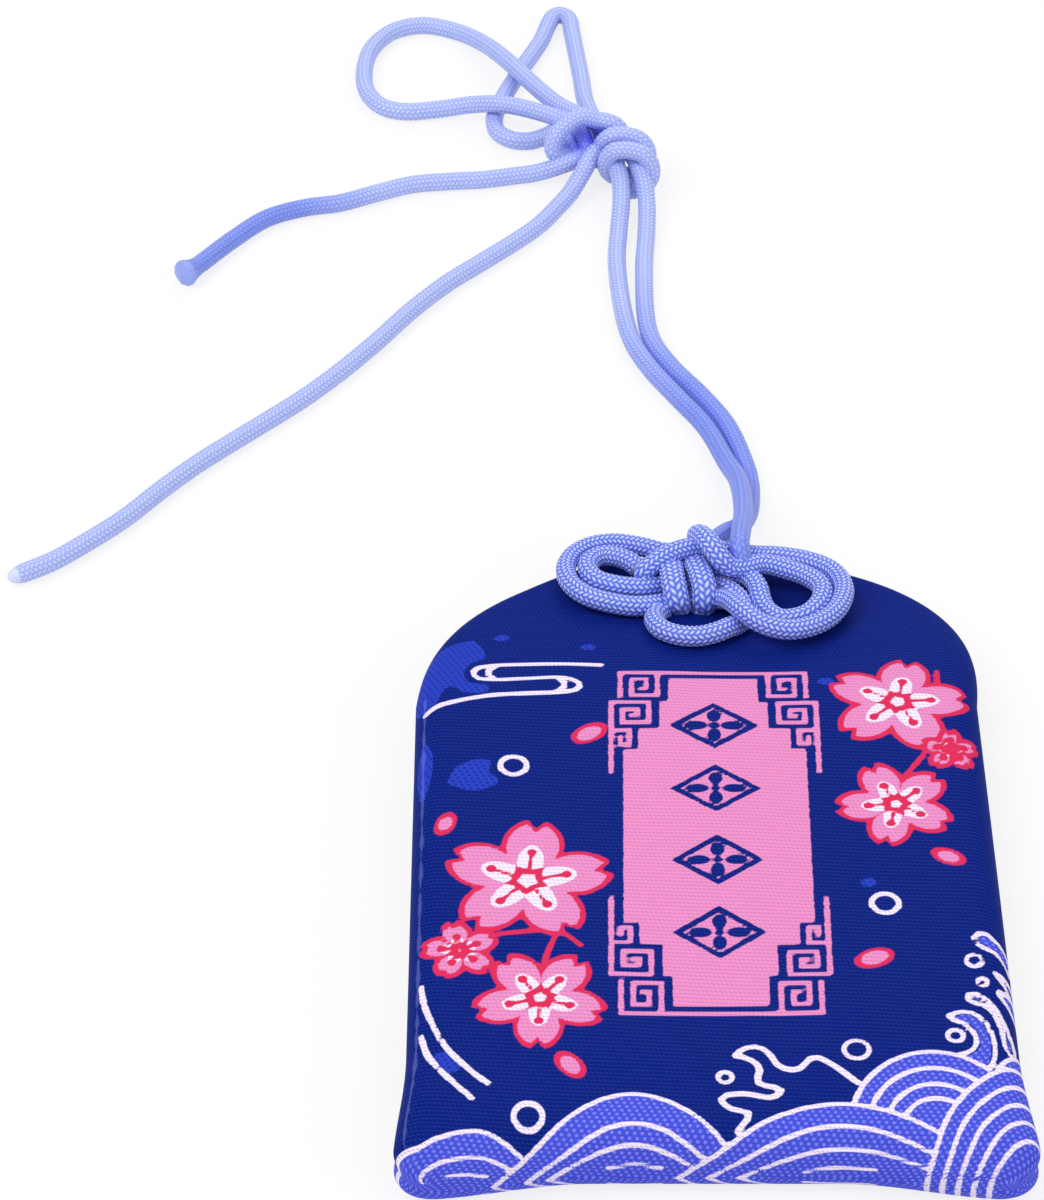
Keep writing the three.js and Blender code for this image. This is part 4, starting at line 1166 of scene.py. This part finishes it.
class OMAMORI_OT_filling(bpy.types.Operator):
    """Lay the filling in the pouch: the wadding, the card, and the wooden tag in its paper"""

    bl_idname = "omamori.filling"
    bl_label = "Filling"

    def execute(self, context):
        low, high = (np.array(corner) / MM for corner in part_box("wadding_pad"))
        pad = pillow("wadding", low, high, roll=4.0)
        pad.data.materials.append(fibre_material("wadding_cotton", "#f3f0e6", 0.6, 0.95))
        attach(pad, "pouch")
        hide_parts("wadding_pad")
        finishes = {
            "stiffener_card": fibre_material("card_grey_board", "#b9b4a8", 0.35, 0.9),
            "talisman_wrapper": fibre_material("paper_white_washi", "#f6f2e6", 1.6, 0.85),
            "talisman_tag": wood_material(),
        }
        for node, finish in finishes.items():
            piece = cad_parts[node]
            piece.data.materials.clear()
            piece.data.materials.append(finish)
        return {"FINISHED"}


FLOOR = 2000  # half the floor's width in millimetres
FLOOR_WHITE = 0.8  # how far the floor is plain white to the camera, so that shadows stay faint
WORLD = 0.44  # strength of the world's light
CAMERA = (-0.01546, -0.26593, 0.2594)
CAMERA_TILT = 49.5  # degrees up from straight down
# lamps: place and size in metres, and share of the light's power
LAMPS = {
    "key": ((-0.45, -0.15, 0.75), 0.6, 1.0),
    "fill": ((0.55, -0.45, 0.55), 0.7, 0.55),
    "back": ((0.1, 0.65, 0.6), 0.6, 0.5),
}
LAMPS_AIM = (0, 0.03, 0)


class OMAMORI_OT_stage(bpy.types.Operator):
    """Set the floor, the lights, the world and the camera"""

    bl_idname = "omamori.stage"
    bl_label = "Stage"

    def execute(self, context):
        settings = context.scene.omamori_stage
        corners = FLOOR * np.array([(-1.0, -1, 0), (1, -1, 0), (1, 1, 0), (-1, 1, 0)])
        floor = surface("floor", corners, np.array([[0, 1, 2, 3]]))
        material, tree, shader = new_material("floor_white_paper")
        shader.inputs["Base Color"].default_value = linear("#f4f4f4")
        shader.inputs["Roughness"].default_value = 0.9
        path = add_node(tree, "LightPath")
        rays = {0: path.outputs["Is Camera Ray"], 1: path.outputs["Is Glossy Ray"]}
        seen = add_node(tree, "Math", rays, operation="MAXIMUM")
        plain = add_node(tree, "Math", {0: seen}, operation="MULTIPLY", in_1=FLOOR_WHITE)
        glow = add_node(tree, "Emission", in_Color=(1, 1, 1, 1), in_Strength=1.0)
        mixed = add_node(tree, "MixShader", {0: plain, 1: shader, 2: glow})
        output = next(n for n in tree.nodes if n.type == "OUTPUT_MATERIAL")
        tree.links.new(mixed.outputs[0], output.inputs["Surface"])
        floor.data.materials.append(material)

        for name, (place, size, share) in LAMPS.items():
            lamp = bpy.data.lights.new(name, "AREA")
            lamp.energy = settings.light * share
            lamp.size = size
            light = bpy.data.objects.new(name, lamp)
            light.location = place
            aim = -np.array(place) + LAMPS_AIM
            tilt = math.atan2(math.hypot(aim[0], aim[1]), -aim[2])
            light.rotation_euler = (tilt, 0, math.atan2(aim[1], aim[0]) - math.pi / 2)
            context.collection.objects.link(light)

        world = bpy.data.worlds.new("studio")
        context.scene.world = world
        world.use_nodes = True
        tree = world.node_tree
        tree.nodes.clear()
        path = add_node(tree, "LightPath")
        dim = add_node(tree, "Background", in_Color=(1, 1, 1, 1), in_Strength=WORLD)
        white = add_node(tree, "Background", in_Color=(1, 1, 1, 1), in_Strength=1.0)
        seen = add_node(tree, "MixShader", {0: path.outputs["Is Camera Ray"], 1: dim, 2: white})
        add_node(tree, "OutputWorld", {"Surface": seen})
        context.scene.view_settings.view_transform = "Standard"

        lens = bpy.data.cameras.new("camera")
        lens.sensor_fit = "HORIZONTAL"
        lens.sensor_width = 36
        lens.lens = settings.lens
        lens.clip_start = 0.01
        camera = bpy.data.objects.new("camera", lens)
        camera.location = CAMERA
        camera.rotation_euler = (math.radians(CAMERA_TILT), 0, 0)
        context.collection.objects.link(camera)
        context.scene.camera = camera
        return {"FINISHED"}


class OMAMORI_PT_panel(bpy.types.Panel):
    """Lists the steps that build the charm"""

    bl_idname = "OMAMORI_PT_panel"
    bl_label = "Omamori charm"
    bl_space_type = "VIEW_3D"
    bl_region_type = "UI"
    bl_category = "Omamori"

    def draw(self, context):
        for step in STEPS:
            self.layout.operator(step.bl_idname)


STEPS = (
    OMAMORI_OT_stage,
    OMAMORI_OT_hanging_cord,
    OMAMORI_OT_charm_knot,
    OMAMORI_OT_pouch,
    OMAMORI_OT_filling,
)
CLASSES = (PouchSettings, CordSettings, StageSettings, *STEPS, OMAMORI_PT_panel)


def register():
    """Adds the classes and the scene's settings."""
    for cls in CLASSES:
        bpy.utils.register_class(cls)
    bpy.types.Scene.omamori_pouch = PointerProperty(type=PouchSettings)
    bpy.types.Scene.omamori_cord = PointerProperty(type=CordSettings)
    bpy.types.Scene.omamori_stage = PointerProperty(type=StageSettings)


def unregister():
    """Removes the scene's settings and the classes."""
    del bpy.types.Scene.omamori_stage
    del bpy.types.Scene.omamori_cord
    del bpy.types.Scene.omamori_pouch
    for cls in reversed(CLASSES):
        bpy.utils.unregister_class(cls)


def main():
    """Builds the charm step by step."""
    register()
    bpy.ops.omamori.stage()
    bpy.ops.omamori.hanging_cord()
    bpy.ops.omamori.charm_knot()
    bpy.ops.omamori.pouch()
    bpy.ops.omamori.filling()


if __name__ == "__main__":
    main()
